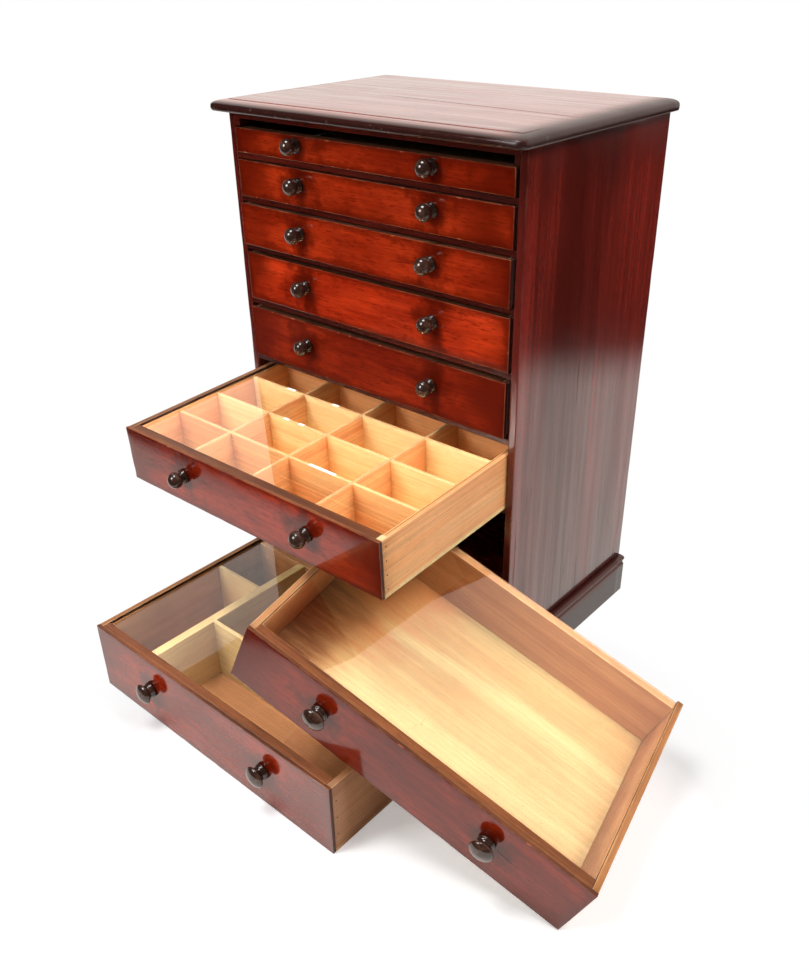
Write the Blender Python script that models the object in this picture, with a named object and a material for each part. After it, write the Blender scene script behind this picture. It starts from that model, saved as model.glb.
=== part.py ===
"""Collectors cabinet of eight graduated glazed drawers, one drawer drawn out and two lifted out.

Metres, +Z up. The origin lies under the plinth's front board, in the middle of the cabinet's
width, on the floor. The carcass front is the plane y = 0 and the cabinet stands behind it (+Y).
Each drawer is modelled in its own frame: u across, v from its front face backwards, w upwards
from its underside, and then set into its slot or onto the floor.
"""
import math

import bmesh
import bpy
from mathutils import Matrix, Vector

# Clearances
FIT = 0.0003
SIDE_PLAY = 0.0049
SLEW_MARGIN = 0.0005
BACK_GAP = 0.004
LEAN_CLEAR = 0.0034

# Carcass
CARCASS_W = 0.420
CARCASS_D = 0.272
SIDE_T = 0.0092
BACK_T = 0.006
BACK_REBATE = 0.004
SHELF_T = 0.007
SHELF_HOUSING = 0.003
SHELF_SET_IN = 0.0004
BOTTOM_T = 0.0075
TOP_RAIL_H = 0.0087
TOP_RAIL_D = 0.024
STUMP_LEFT = 0.0080
STUMP_RIGHT = 0.0060
STUMP_CLEAR = 0.0009
BOARD_ARRIS = 0.0008

# Top board
TOP_T = 0.0118
TOP_OVER_FRONT = 0.0235
TOP_OVER_SIDE = 0.0095
TOP_CORNER_R = 0.010
TOP_NOSE_H = 0.0040
TOP_MOULD_FRONT = 0.0215
TOP_MOULD_SIDE = 0.0148
TOP_QUIRK = 0.0006

# Plinth
PLINTH_H = 0.0565
PLINTH_OUT = 0.008
PLINTH_HOUSED = 0.004
PLINTH_MOULD_H = 0.0125
PLINTH_BEAD_R = 0.0034
PLINTH_BEAD_OUT = 0.0005
PLINTH_COVE = 0.0018

# Drawers, from the top one down: height of the front and free height over it
DRAWER_H = (0.0274, 0.0416, 0.0495, 0.0584, 0.0645, 0.0686, 0.0803, 0.0916)
HEAD_ROOM = (0.0099, 0.0009, 0.0012, 0.0032, 0.0042, 0.0007, 0.0014, 0.0018)
FRONT_T = 0.014
FRONT_LIP = 0.004
FRONT_ARRIS = 0.0007
DRAWER_SIDE_T = 0.007
DRAWER_BACK_T = 0.009
DRAWER_BOTTOM_T = 0.004
RIM_DROP = 0.0005
GLASS_T = 0.002
GLASS_DROP = 0.0034
GLASS_GROOVE = 0.0025

# How far the closed drawers stand proud, and sideways, in their slots
PROUD = (0.0017, 0.0019, 0.0048, 0.0014, 0.0026)
ASIDE = (-0.0004, -0.0004, -0.0004, -0.0007, -0.0018)

# Turned knobs: round heads on drawers 1 to 6, flat heads on drawers 7 and 8
KNOB_SPAN = 0.195
KNOB_RISE = 0.003
KNOB_SIDES = 16
ROUND_COLLAR_R = 0.0085
ROUND_COLLAR_L = 0.0040
ROUND_NECK_R = 0.0058
ROUND_NECK_L = 0.0026
ROUND_HEAD_R = 0.0095
ROUND_HEAD_L = 0.0140
FLAT_COLLAR_R = 0.0095
FLAT_COLLAR_L = 0.0048
FLAT_NECK_R = 0.0080
FLAT_NECK_L = 0.0036
FLAT_HEAD_R = 0.0125
FLAT_HEAD_L = 0.0088

# Crate and dividers inside the two deep drawers
CRATE_COLUMNS = 4
CRATE_ROWS = 4
CRATE_T = 0.004
TRAY_RIB_T = 0.0115
TRAY_RIB_IN = 0.0785
TRAY_BAR_T = 0.005
TRAY_BAR_REAR = 0.166
TRAY_BAR_FRONT = 0.086

# Drawer 6, drawn out; drawer 7, leaning; drawer 8, on the floor
PULL_6 = 0.209
DROOP_6 = 0.036
PLACE_8_X = 0.0265
PLACE_8_GAP = 0.0435
TURN_8 = -0.0021
AHEAD_7 = 0.0371
TURN_7 = 0.2064
PITCH_7 = 0.0483

# Sizes that follow
OPENING_W = CARCASS_W - 2 * SIDE_T
DRAWER_W = OPENING_W - SIDE_PLAY
DRAWER_D = CARCASS_D - BACK_T - BACK_GAP
HALF_W = DRAWER_W / 2
INNER_HALF = HALF_W - DRAWER_SIDE_T
SLEW_6 = math.asin((SIDE_PLAY - 2 * SLEW_MARGIN) / DRAWER_D)
HEAD_6 = HEAD_ROOM[5] + DRAWER_D * math.sin(DROOP_6)
FLOOR_8 = PLINTH_H + 0.8 * BOTTOM_T


def shelf_levels():
    """Works out the top of each shelf and the carcass height from the drawers' heights.

    Returns:
        The top faces of shelves 1 to 7, and the carcass height under the top board.
    """
    tops = []
    level = FLOOR_8
    for index in range(7, -1, -1):
        head = HEAD_6 if index == 5 else HEAD_ROOM[index]
        level += FIT + DRAWER_H[index] + head
        if index:
            level += SHELF_T
            tops.append(level)
    return tops[::-1], level + TOP_RAIL_H


SHELF_TOP, CARCASS_H = shelf_levels()
SLOT_FLOOR = SHELF_TOP + [FLOOR_8]


def clear_scene():
    """Takes every object out of the file."""
    for item in list(bpy.data.objects):
        bpy.data.objects.remove(item, do_unlink=True)


def material(name, colour, roughness, transmission=0.0):
    """Makes a plain Principled material.

    Args:
        name: Name of the material.
        colour: Linear base colour.
        roughness: Roughness of the surface.
        transmission: Transmission weight, for glass.

    Returns:
        The material.
    """
    made = bpy.data.materials.new(name)
    made.use_nodes = True
    shader = made.node_tree.nodes["Principled BSDF"]
    shader.inputs["Base Color"].default_value = (*colour, 1.0)
    shader.inputs["Roughness"].default_value = roughness
    shader.inputs["Transmission Weight"].default_value = transmission
    made.diffuse_color = (*colour, 1.0)
    return made


def add_object(name, bm, finish, parent=None):
    """Turns a closed bmesh into a named object.

    Args:
        name: Name of the node.
        bm: The solid, which is freed.
        finish: Its material.
        parent: Empty that carries the piece, if any.

    Returns:
        The object.
    """
    bmesh.ops.recalc_face_normals(bm, faces=bm.faces)
    mesh = bpy.data.meshes.new(name)
    bm.to_mesh(mesh)
    bm.free()
    mesh.materials.append(finish)
    item = bpy.data.objects.new(name, mesh)
    bpy.context.scene.collection.objects.link(item)
    item.parent = parent
    return item


def loft(rings):
    """Skins closed rings of equal count and caps both ends.

    Args:
        rings: Lists of points, one list a ring.

    Returns:
        The closed solid.
    """
    bm = bmesh.new()
    rows = [[bm.verts.new(point) for point in ring] for ring in rings]
    count = len(rows[0])
    for low, high in zip(rows, rows[1:]):
        for i in range(count):
            j = (i + 1) % count
            bm.faces.new((low[i], low[j], high[j], high[i]))
    bm.faces.new(rows[0][::-1])
    bm.faces.new(rows[-1])
    return bm


def prism(outline, axis, low, high):
    """Extrudes an outline along one axis.

    Args:
        outline: Points in the two other axes, taken in X, Y, Z order.
        axis: 0, 1 or 2, the axis to extrude along.
        low: Start along that axis.
        high: End along that axis.

    Returns:
        The closed solid.
    """
    rings = []
    for station in (low, high):
        ring = []
        for a, b in outline:
            point = [a, b]
            point.insert(axis, station)
            ring.append(Vector(point))
        rings.append(ring)
    return loft(rings)


def block(low, high):
    """Makes a plain square block between two corners."""
    outline = ((low[0], low[1]), (high[0], low[1]), (high[0], high[1]), (low[0], high[1]))
    return prism(outline, 2, low[2], high[2])


def cut_away(item, cutters):
    """Cuts closed solids out of an object and keeps the result as its mesh.

    Args:
        item: The object to cut.
        cutters: Closed solids in the object's own frame, which are freed.
    """
    finish = item.data.materials[0]
    tools = []
    for bm in cutters:
        tool = add_object("cutter", bm, finish)
        tool.hide_render = True
        tool.display_type = "WIRE"
        tools.append(tool)
        step = item.modifiers.new("cut", "BOOLEAN")
        step.operation = "DIFFERENCE"
        step.solver = "EXACT"
        step.object = tool
    bpy.context.view_layer.update()
    graph = bpy.context.evaluated_depsgraph_get()
    mesh = bpy.data.meshes.new_from_object(item.evaluated_get(graph))
    item.modifiers.clear()
    item.data = mesh
    mesh.name = item.name
    for tool in tools:
        bpy.data.objects.remove(tool, do_unlink=True)


def eased_board(depth, height, arris, front=0.0, base=0.0):
    """Outline of a board's cross-section with its two front arrises eased.

    Args:
        depth: Depth from front to back.
        height: Thickness or height.
        arris: Size of the eased edges.
        front: Place of the front face.
        base: Place of the underside.

    Returns:
        Points in depth and height.
    """
    ease = min(arris, 0.4 * height, 0.4 * depth)
    return (
        (front + ease, base), (front + depth, base), (front + depth, base + height),
        (front + ease, base + height), (front, base + height - ease), (front, base + ease),
    )


def lathe(profile, sides):
    """Turns a profile about the -v axis, from a pole at its base to a pole at its face.

    Args:
        profile: Distances from the base and radii, without the poles.
        sides: Facets around.

    Returns:
        The closed solid, standing on v = 0 and pointing to -v.
    """
    bm = bmesh.new()
    rows = []
    for out, radius in profile:
        turn = [2 * math.pi * i / sides for i in range(sides)]
        rows.append([bm.verts.new((radius * math.cos(a), -out, radius * math.sin(a))) for a in turn])
    for low, high in zip(rows, rows[1:]):
        for i in range(sides):
            j = (i + 1) % sides
            bm.faces.new((low[i], low[j], high[j], high[i]))
    bm.faces.new(rows[0][::-1])
    bm.faces.new(rows[-1])
    return bm


def lattice(across, along, low, high, keep):
    """Raises the kept cells of a plan grid as one solid, as crossing strips share their laps.

    Args:
        across: Grid lines in u.
        along: Grid lines in v.
        low: Underside.
        high: Top.
        keep: Tells whether the cell (i, j) is wood.

    Returns:
        The closed solid.
    """
    bm = bmesh.new()
    points = {}

    def vert(i, j, level):
        key = (i, j, level)
        if key not in points:
            points[key] = bm.verts.new((across[i], along[j], high if level else low))
        return points[key]

    def wood(i, j):
        inside = 0 <= i < len(across) - 1 and 0 <= j < len(along) - 1
        return inside and keep(i, j)

    for i in range(len(across) - 1):
        for j in range(len(along) - 1):
            if not wood(i, j):
                continue
            plan = ((i, j), (i + 1, j), (i + 1, j + 1), (i, j + 1))
            for level in (0, 1):
                bm.faces.new([vert(a, b, level) for a, b in plan])
            beside = ((i, j - 1), (i + 1, j), (i, j + 1), (i - 1, j))
            for k, cell in enumerate(beside):
                if wood(*cell):
                    continue
                a, b = plan[k], plan[(k + 1) % 4]
                bm.faces.new((vert(*a, 0), vert(*b, 0), vert(*b, 1), vert(*a, 1)))
    return bm


def spread(low, high, count, thick):
    """Grid lines of equal cells between two ends with strips between them.

    Args:
        low: First end.
        high: Last end.
        count: Number of cells.
        thick: Thickness of a strip.

    Returns:
        The ends and both faces of every strip, in order.
    """
    cell = (high - low - (count - 1) * thick) / count
    lines = [low]
    for k in range(count - 1):
        face = low + (k + 1) * cell + k * thick
        lines += [face, face + thick]
    return lines + [high]


def build_sides(finish):
    """Carcass sides, housed for the shelves, rebated for the back and notched for the plinth."""
    inner = OPENING_W / 2
    outer = CARCASS_W / 2
    past = SIDE_T
    back = CARCASS_D - BACK_T - FIT
    for name, hand in (("side_left", -1), ("side_right", 1)):
        low = min(hand * inner, hand * outer)
        high = max(hand * inner, hand * outer)
        body = prism([(low, 0), (high, 0), (high, CARCASS_D), (low, CARCASS_D)], 2, 0, CARCASS_H)
        side = add_object(name, body, finish)
        cutters = []

        def groove(depth, y_low, y_high, z_low, z_high):
            x = (hand * (inner - past), hand * (inner + depth))
            cutters.append(block((min(x), y_low, z_low), (max(x), y_high, z_high)))

        groove(BACK_REBATE, back, CARCASS_D + past, -past, CARCASS_H + past)
        tops = [(top, SHELF_T) for top in SHELF_TOP] + [(FLOOR_8, BOTTOM_T)]
        for top, thick in tops:
            groove(SHELF_HOUSING, -past, back + FIT / 2, top - thick - FIT, top + FIT)
        notch = PLINTH_HOUSED + FIT
        groove(SIDE_T + past, -past, notch, -past, FLOOR_8 - BOTTOM_T)
        cut_away(side, cutters)


def build_carcass(finish, dark, plain):
    """Sides, shelves, bottom, back and top rail, which has a stump left under each end."""
    build_sides(finish)
    half = OPENING_W / 2 + SHELF_HOUSING - FIT
    depth = CARCASS_D - BACK_T - FIT - SHELF_SET_IN - FIT
    for number, top in enumerate(SHELF_TOP, 1):
        outline = eased_board(depth, SHELF_T, BOARD_ARRIS, SHELF_SET_IN, top - SHELF_T)
        add_object(f"shelf_{number}", prism(outline, 0, -half, half), dark)
    outline = eased_board(depth, BOTTOM_T, BOARD_ARRIS, SHELF_SET_IN, FLOOR_8 - BOTTOM_T)
    add_object("bottom_board", prism(outline, 0, -half, half), dark)
    half = OPENING_W / 2 - FIT
    rail = CARCASS_H - TOP_RAIL_H
    drop = HEAD_ROOM[0] - STUMP_CLEAR
    outline = eased_board(TOP_RAIL_D, TOP_RAIL_H + drop, BOARD_ARRIS, SHELF_SET_IN, rail - drop)
    board = add_object("top_rail", prism(outline, 0, -half, half), dark)
    past = TOP_RAIL_D
    low = (-half + STUMP_LEFT, -past, rail - drop - past)
    cut_away(board, [block(low, (half - STUMP_RIGHT, 2 * past, rail))])
    half = OPENING_W / 2 + BACK_REBATE - FIT
    low = (-half, CARCASS_D - BACK_T, FLOOR_8 - BOTTOM_T)
    add_object("back_panel", block(low, (half, CARCASS_D, CARCASS_H)), plain)


def top_ring(inset, height):
    """Outline of the top board at one height, with rounded front corners.

    Args:
        inset: How far the moulding has drawn in, as a share of its width.
        height: Height over the underside.

    Returns:
        The ring of points.
    """
    half = CARCASS_W / 2 + TOP_OVER_SIDE - inset * TOP_MOULD_SIDE
    front = -TOP_OVER_FRONT + inset * TOP_MOULD_FRONT
    radius = TOP_CORNER_R * (1 - 0.75 * inset)
    z = CARCASS_H + FIT + height
    ring = [Vector((half, CARCASS_D, z)), Vector((-half, CARCASS_D, z))]
    steps = 5
    for hand in (-1, 1):
        for k in range(steps + 1):
            share = k / steps if hand < 0 else 1 - k / steps
            angle = share * math.pi / 2
            x = half - radius + radius * math.cos(angle)
            y = front + radius - radius * math.sin(angle)
            ring.append(Vector((hand * x, y, z)))
    return ring


def build_top(finish):
    """Top board: a rounded nose that rises to a fine quirk on the front and the sides."""
    rise = TOP_T - TOP_QUIRK - TOP_NOSE_H
    rings = []
    for k in range(4):
        angle = k / 3 * math.pi / 2
        rings.append(top_ring(0.14 * (1 - math.sin(angle)), TOP_NOSE_H * (1 - math.cos(angle))))
    for k in range(6):
        angle = (k + 1) / 6 * math.pi / 2
        rings.append(top_ring(0.97 * (1 - math.cos(angle)), TOP_NOSE_H + rise * math.sin(angle)))
    rings.append(top_ring(1.0, TOP_T))
    add_object("top_board", loft(rings), finish)


def plinth_profile(back):
    """Cross-section of a plinth board: outward distance and height, from the back foot round.

    Args:
        back: Outward distance of the back face.

    Returns:
        The points.
    """
    flat = PLINTH_H - PLINTH_MOULD_H
    centre = PLINTH_OUT + PLINTH_BEAD_OUT - PLINTH_BEAD_R
    level = PLINTH_H - 1.2 * PLINTH_BEAD_R
    points = [(back, 0.0), (PLINTH_OUT, 0.0), (PLINTH_OUT, flat)]
    points += [(PLINTH_OUT - 0.75 * PLINTH_COVE, flat + 0.6 * PLINTH_COVE)]
    points += [(PLINTH_OUT - PLINTH_COVE, flat + 1.8 * PLINTH_COVE)]
    for k in range(7):
        angle = math.radians(-60 + 25 * k)
        points.append((centre + PLINTH_BEAD_R * math.cos(angle), level + PLINTH_BEAD_R * math.sin(angle)))
    points.append((FIT, PLINTH_H))
    return points


def build_plinth(finish):
    """Moulded plinth on the front and both sides, mitred at the front corners."""
    half = CARCASS_W / 2
    profile = plinth_profile(-PLINTH_HOUSED)
    seat = FLOOR_8 - BOTTOM_T - FIT
    profile += [(FIT, seat), (-PLINTH_HOUSED, seat)]
    rings = []
    for hand in (-1, 1):
        rings.append([Vector((hand * (half + out), -out, z)) for out, z in profile])
    add_object("plinth_front", loft(rings), finish)
    gap = 1.5 * FIT
    profile = plinth_profile(FIT)
    for name, hand in (("plinth_left", -1), ("plinth_right", 1)):
        front = [Vector((hand * (half + out), -out + gap, z)) for out, z in profile]
        rear = [Vector((hand * (half + out), CARCASS_D, z)) for out, z in profile]
        add_object(name, loft((front, rear)), finish)


def knob_profile(collar, neck, head, stations):
    """Distances from the front board and radii of a turned knob: collar, neck and head.

    Args:
        collar: Radius and length of the collar.
        neck: Radius and length of the neck.
        head: Radius and length of the head.
        stations: Shares of the head's length and radius along its outline.

    Returns:
        The profile.
    """
    foot = collar[1] + neck[1]
    points = [(0.0, 0.94 * collar[0]), (0.2 * collar[1], collar[0]), (0.65 * collar[1], 0.98 * collar[0])]
    points += [(collar[1], 0.89 * collar[0]), (collar[1] + 0.5 * neck[1], neck[0])]
    return points + [(foot + along * head[1], across * head[0]) for along, across in stations]


def round_knob():
    """Outline of the knobs of drawers 1 to 6, with a head like a ball."""
    stations = (
        (0.0, 0.66), (0.10, 0.84), (0.25, 0.965), (0.42, 1.0), (0.58, 0.96),
        (0.74, 0.83), (0.87, 0.62), (0.96, 0.36), (1.0, 0.12),
    )
    collar = (ROUND_COLLAR_R, ROUND_COLLAR_L)
    return knob_profile(collar, (ROUND_NECK_R, ROUND_NECK_L), (ROUND_HEAD_R, ROUND_HEAD_L), stations)


def flat_knob():
    """Outline of the knobs of drawers 7 and 8, with a head like a mushroom."""
    stations = (
        (0.0, 0.74), (0.14, 0.90), (0.26, 0.985), (0.36, 1.0), (0.48, 0.97),
        (0.64, 0.85), (0.80, 0.64), (0.92, 0.38), (1.0, 0.12),
    )
    collar = (FLAT_COLLAR_R, FLAT_COLLAR_L)
    return knob_profile(collar, (FLAT_NECK_R, FLAT_NECK_L), (FLAT_HEAD_R, FLAT_HEAD_L), stations)


def glass_levels(height):
    """Underside and top of the glass groove in a drawer of a given front height."""
    top = height - RIM_DROP - GLASS_DROP
    return top - GLASS_T - 2 * FIT, top


def build_front(name, height, finish, parent):
    """Drawer front, rebated at both ends for the sides and below for the bottom.

    Args:
        name: Name of the node.
        height: Height of the front.
        finish: Its material.
        parent: The drawer's empty.
    """
    outline = eased_board(FRONT_T, height, FRONT_ARRIS)
    board = add_object(name, prism(outline, 0, -HALF_W, HALF_W), finish, None)
    over = FRONT_T
    cutters = []
    for hand in (-1, 1):
        ends = (hand * (INNER_HALF - FIT), hand * (HALF_W + over))
        cutters.append(block((min(ends), FRONT_LIP, -over), (max(ends), FRONT_T + over, height + over)))
    floor = DRAWER_BOTTOM_T + FIT
    cutters.append(block((-HALF_W - over, FRONT_LIP, -over), (HALF_W + over, FRONT_T + over, floor)))
    cut_away(board, cutters)
    board.parent = parent


def build_tray(name, height, finish, parent):
    """Drawer box behind the front: sides grooved for the glass, a lower back and the bottom.

    Args:
        name: Name of the node.
        height: Height of the drawer's front.
        finish: Its material.
        parent: The drawer's empty.
    """
    rim = height - RIM_DROP
    low, top = glass_levels(height)
    start = FRONT_LIP + FIT
    tray = add_object(name, block((-HALF_W, start, 0.0), (HALF_W, DRAWER_D, rim)), finish, None)
    over = DRAWER_SIDE_T
    inner = INNER_HALF
    back = DRAWER_D - DRAWER_BACK_T
    groove = inner + GLASS_GROOVE
    cutters = [
        block((-inner, start - over, DRAWER_BOTTOM_T), (inner, back, rim + over)),
        block((-inner, back - over, low), (inner, DRAWER_D + over, rim + over)),
        block((-groove, start - over, low), (groove, DRAWER_D + over, top)),
    ]
    cut_away(tray, cutters)
    tray.parent = parent


def build_crate(name, height, finish, parent):
    """Egg crate of half-lapped strips that stands under the glass of drawer 6."""
    across = spread(-INNER_HALF + FIT, INNER_HALF - FIT, CRATE_COLUMNS, CRATE_T)
    back = DRAWER_D - DRAWER_BACK_T - FIT
    along = spread(FRONT_T + FIT, back, CRATE_ROWS, CRATE_T)
    low = DRAWER_BOTTOM_T + FIT
    high = glass_levels(height)[0] - FIT
    solid = lattice(across, along, low, high, lambda i, j: i % 2 == 1 or j % 2 == 1)
    add_object(name, solid, finish, parent)


def build_dividers(name, height, finish, parent):
    """Thick rib from front to back of drawer 8, with a bar across on either side of it."""
    left = -INNER_HALF + FIT
    rib = -INNER_HALF + TRAY_RIB_IN
    across = [left, rib, rib + TRAY_RIB_T, INNER_HALF - FIT]
    back = DRAWER_D - DRAWER_BACK_T - FIT
    near = FRONT_T + TRAY_BAR_FRONT
    far = FRONT_T + TRAY_BAR_REAR
    along = [FRONT_T + FIT, near, near + TRAY_BAR_T, far, far + TRAY_BAR_T, back]
    low = DRAWER_BOTTOM_T + FIT
    high = glass_levels(height)[0] - FIT
    solid = lattice(across, along, low, high, lambda i, j: i == 1 or (i, j) in ((0, 3), (2, 1)))
    add_object(name, solid, finish, parent)


def build_drawer(number, place, finishes):
    """Builds one drawer in its own frame and sets it in its place.

    Args:
        number: 1 for the top drawer to 8 for the bottom one.
        place: Matrix that sets the drawer's frame into the part's frame.
        finishes: Materials by name.
    """
    height = DRAWER_H[number - 1]
    stem = f"drawer_{number}"
    carrier = bpy.data.objects.new(stem, None)
    bpy.context.scene.collection.objects.link(carrier)
    build_front(f"{stem}_front", height, finishes["mahogany"], carrier)
    build_tray(f"{stem}_tray", height, finishes["pine"], carrier)
    low = glass_levels(height)[0] + FIT
    reach = INNER_HALF + GLASS_GROOVE - FIT
    pane = block((-reach, FRONT_T + FIT, low), (reach, DRAWER_D, low + GLASS_T))
    add_object(f"{stem}_glass", pane, finishes["glass"], carrier)
    for name, hand in (("left", -1), ("right", 1)):
        knob = lathe(round_knob() if number < 7 else flat_knob(), KNOB_SIDES)
        rise = min(height / 2 + KNOB_RISE, height - ROUND_HEAD_R)
        bmesh.ops.translate(knob, verts=knob.verts, vec=(hand * KNOB_SPAN / 2, -FIT, rise))
        add_object(f"{stem}_knob_{name}", knob, finishes["ebonised"], carrier)
    if number == 6:
        build_crate(f"{stem}_crate", height, finishes["deal"], carrier)
    if number == 8:
        build_dividers(f"{stem}_dividers", height, finishes["deal"], carrier)
    carrier.matrix_world = place


def place_6():
    """Frame of drawer 6, drawn out, drooping over its shelf's edge and slewed by its side play."""
    turn = Matrix.Rotation(SLEW_6, 4, "Z") @ Matrix.Rotation(DROOP_6, 4, "X")
    closed = Vector((math.sin(SLEW_6) * DRAWER_D / 2, 0.0, SLOT_FLOOR[5] + FIT))
    out = turn @ Vector((0.0, -PULL_6, 0.0))
    return Matrix.Translation(closed + out) @ turn


def place_8():
    """Frame of drawer 8, which lies on the floor in front of the plinth."""
    y = -PLINTH_OUT - PLACE_8_GAP - DRAWER_D
    return Matrix.Translation((PLACE_8_X, y, 0.0)) @ Matrix.Rotation(TURN_8, 4, "Z")


def lean_7(tilt):
    """Frame of drawer 7 for one tilt: a front corner on the floor, its underside on drawer 8.

    Args:
        tilt: Turn about its depth, right side down.

    Returns:
        The frame's matrix.
    """
    turn = Matrix.Rotation(TURN_7, 4, "Z") @ Matrix.Rotation(tilt, 4, "Y") @ Matrix.Rotation(PITCH_7, 4, "X")
    foot = turn @ Vector((HALF_W, 0.0, 0.0))
    prop = place_8() @ Vector((HALF_W, DRAWER_D, DRAWER_H[7] - RIM_DROP))
    up = turn @ Vector((0.0, 0.0, 1.0))
    y = (place_8() @ Vector((0.0, 0.0, 0.0))).y + AHEAD_7
    z = FIT - foot.z
    x = prop.x + (FIT + up.y * (prop.y - y) + up.z * (prop.z - z)) / up.x
    return Matrix.Translation((x, y, z)) @ turn


def place_7():
    """Frame of drawer 7, tilted until its rear left rim stays clear under drawer 6."""
    under = place_6()
    normal = under.to_3x3() @ Vector((0.0, 0.0, 1.0))
    rim = Vector((-HALF_W, DRAWER_D, DRAWER_H[6] - RIM_DROP))
    low, high = 0.02, 1.2
    for _ in range(50):
        tilt = (low + high) / 2
        room = (under.translation - lean_7(tilt) @ rim).dot(normal)
        if room > LEAN_CLEAR:
            low = tilt
        else:
            high = tilt
    return lean_7(low)


def build():
    """Builds the whole cabinet."""
    clear_scene()
    finishes = {
        "mahogany": material("mahogany", (0.30, 0.055, 0.018), 0.32),
        "dark": material("mahogany_dark", (0.10, 0.015, 0.009), 0.40),
        "pine": material("pine", (0.62, 0.37, 0.15), 0.55),
        "deal": material("deal", (0.60, 0.34, 0.13), 0.60),
        "ebonised": material("ebonised_wood", (0.012, 0.008, 0.007), 0.18),
        "glass": material("glass", (0.92, 0.96, 0.94), 0.03, 1.0),
    }
    build_carcass(finishes["dark"], finishes["dark"], finishes["pine"])
    build_top(finishes["dark"])
    build_plinth(finishes["dark"])
    for index in range(5):
        floor = SLOT_FLOOR[index] + FIT
        place = Matrix.Translation((ASIDE[index], -PROUD[index], floor))
        build_drawer(index + 1, place, finishes)
    build_drawer(6, place_6(), finishes)
    build_drawer(7, place_7(), finishes)
    build_drawer(8, place_8(), finishes)
    bpy.context.view_layer.update()


build()
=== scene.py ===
"""Looks of a small collectors cabinet with glass-covered drawers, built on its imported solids.

Each drawer is dressed in its own frame: u across, v from the front face backwards and w upwards
from the underside. Boards carry their grain, their tone and their distance from the nearest arris
as attributes, so one timber shader fits every board whichever way it lies.
"""
import logging
import math
from dataclasses import dataclass, field, replace
from enum import Enum, IntEnum
from functools import lru_cache
from typing import Callable, Dict, List, Optional, Sequence, Tuple, Union

import bpy
import numpy as np
from mathutils import Euler, Matrix, Vector, noise


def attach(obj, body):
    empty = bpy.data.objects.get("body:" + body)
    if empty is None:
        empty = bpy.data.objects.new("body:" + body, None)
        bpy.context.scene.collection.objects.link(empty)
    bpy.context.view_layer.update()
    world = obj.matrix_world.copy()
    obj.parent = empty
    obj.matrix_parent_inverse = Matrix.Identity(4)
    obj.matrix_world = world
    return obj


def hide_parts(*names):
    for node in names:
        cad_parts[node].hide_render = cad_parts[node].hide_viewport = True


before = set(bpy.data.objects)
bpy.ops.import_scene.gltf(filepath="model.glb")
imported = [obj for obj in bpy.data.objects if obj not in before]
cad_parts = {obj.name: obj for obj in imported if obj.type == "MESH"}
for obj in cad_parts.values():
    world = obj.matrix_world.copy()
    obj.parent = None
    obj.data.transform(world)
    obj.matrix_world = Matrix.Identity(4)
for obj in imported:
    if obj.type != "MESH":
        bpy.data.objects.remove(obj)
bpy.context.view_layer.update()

LOG = logging.getLogger("cabinet")

# Names and directions of a left and a right piece.
HANDS = (("left", -1), ("right", 1))
# Distance of a knob from the middle of its front.
KNOB_U = 0.0975
# Points set beside a rounded edge, in radii, so that its wear has somewhere to show.
BESIDE = (2.2, 5.0)
# Distance from an arris that a sharp corner is given, so that it shows no wear.
SHARP_GAP = 0.004
# How much lower the crossing strips and bars end than those they meet.
CROSS_DROP = 0.0002
# Width of the camera's sensor.
SENSOR_MM = 36.0
# Frame of the pieces that are made where they stand.
STRAIGHT = Matrix.Identity(4)

Colour = Tuple[float, float, float]
Point = Tuple[float, float, float]
Corner = Tuple[float, float, float]
Socket = bpy.types.NodeSocket
Value = Union[float, int, Sequence[float], bpy.types.NodeSocket]

BLACK: Colour = (0.0, 0.0, 0.0)
WHITE: Colour = (1.0, 1.0, 1.0)


class Grain(Enum):
    """Axis that a board's grain follows in its own frame."""

    ACROSS = 0
    DEPTH = 1
    UPRIGHT = 2


class Coordinates(Enum):
    """Where a timber shader takes its grain coordinates from."""

    BOARD = "board"
    WORLD_X = "world_x"
    WORLD_Z = "world_z"


class FaceSlot(IntEnum):
    """Material slots of a drawer front."""

    POLISHED = 0
    CORE = 1
    # The front's ends, and the top of a closed drawer's front, painted dark as shade in the gaps.
    END = 2


class BoxSlot(IntEnum):
    """Material slots of a drawer box."""

    WALL = 0
    FLOOR = 1
    LEFT_RIM = 2
    RIGHT_RIM = 3
    # Faces painted dark as shade: the lip above the pane, and what shows of a closed drawer's box in its
    # slot.
    DARK = 4


class StripSlot(IntEnum):
    """Material slots of the egg crate."""

    PLAIN = 0
    RED = 1
    PALE = 2
    EDGE = 3


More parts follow.
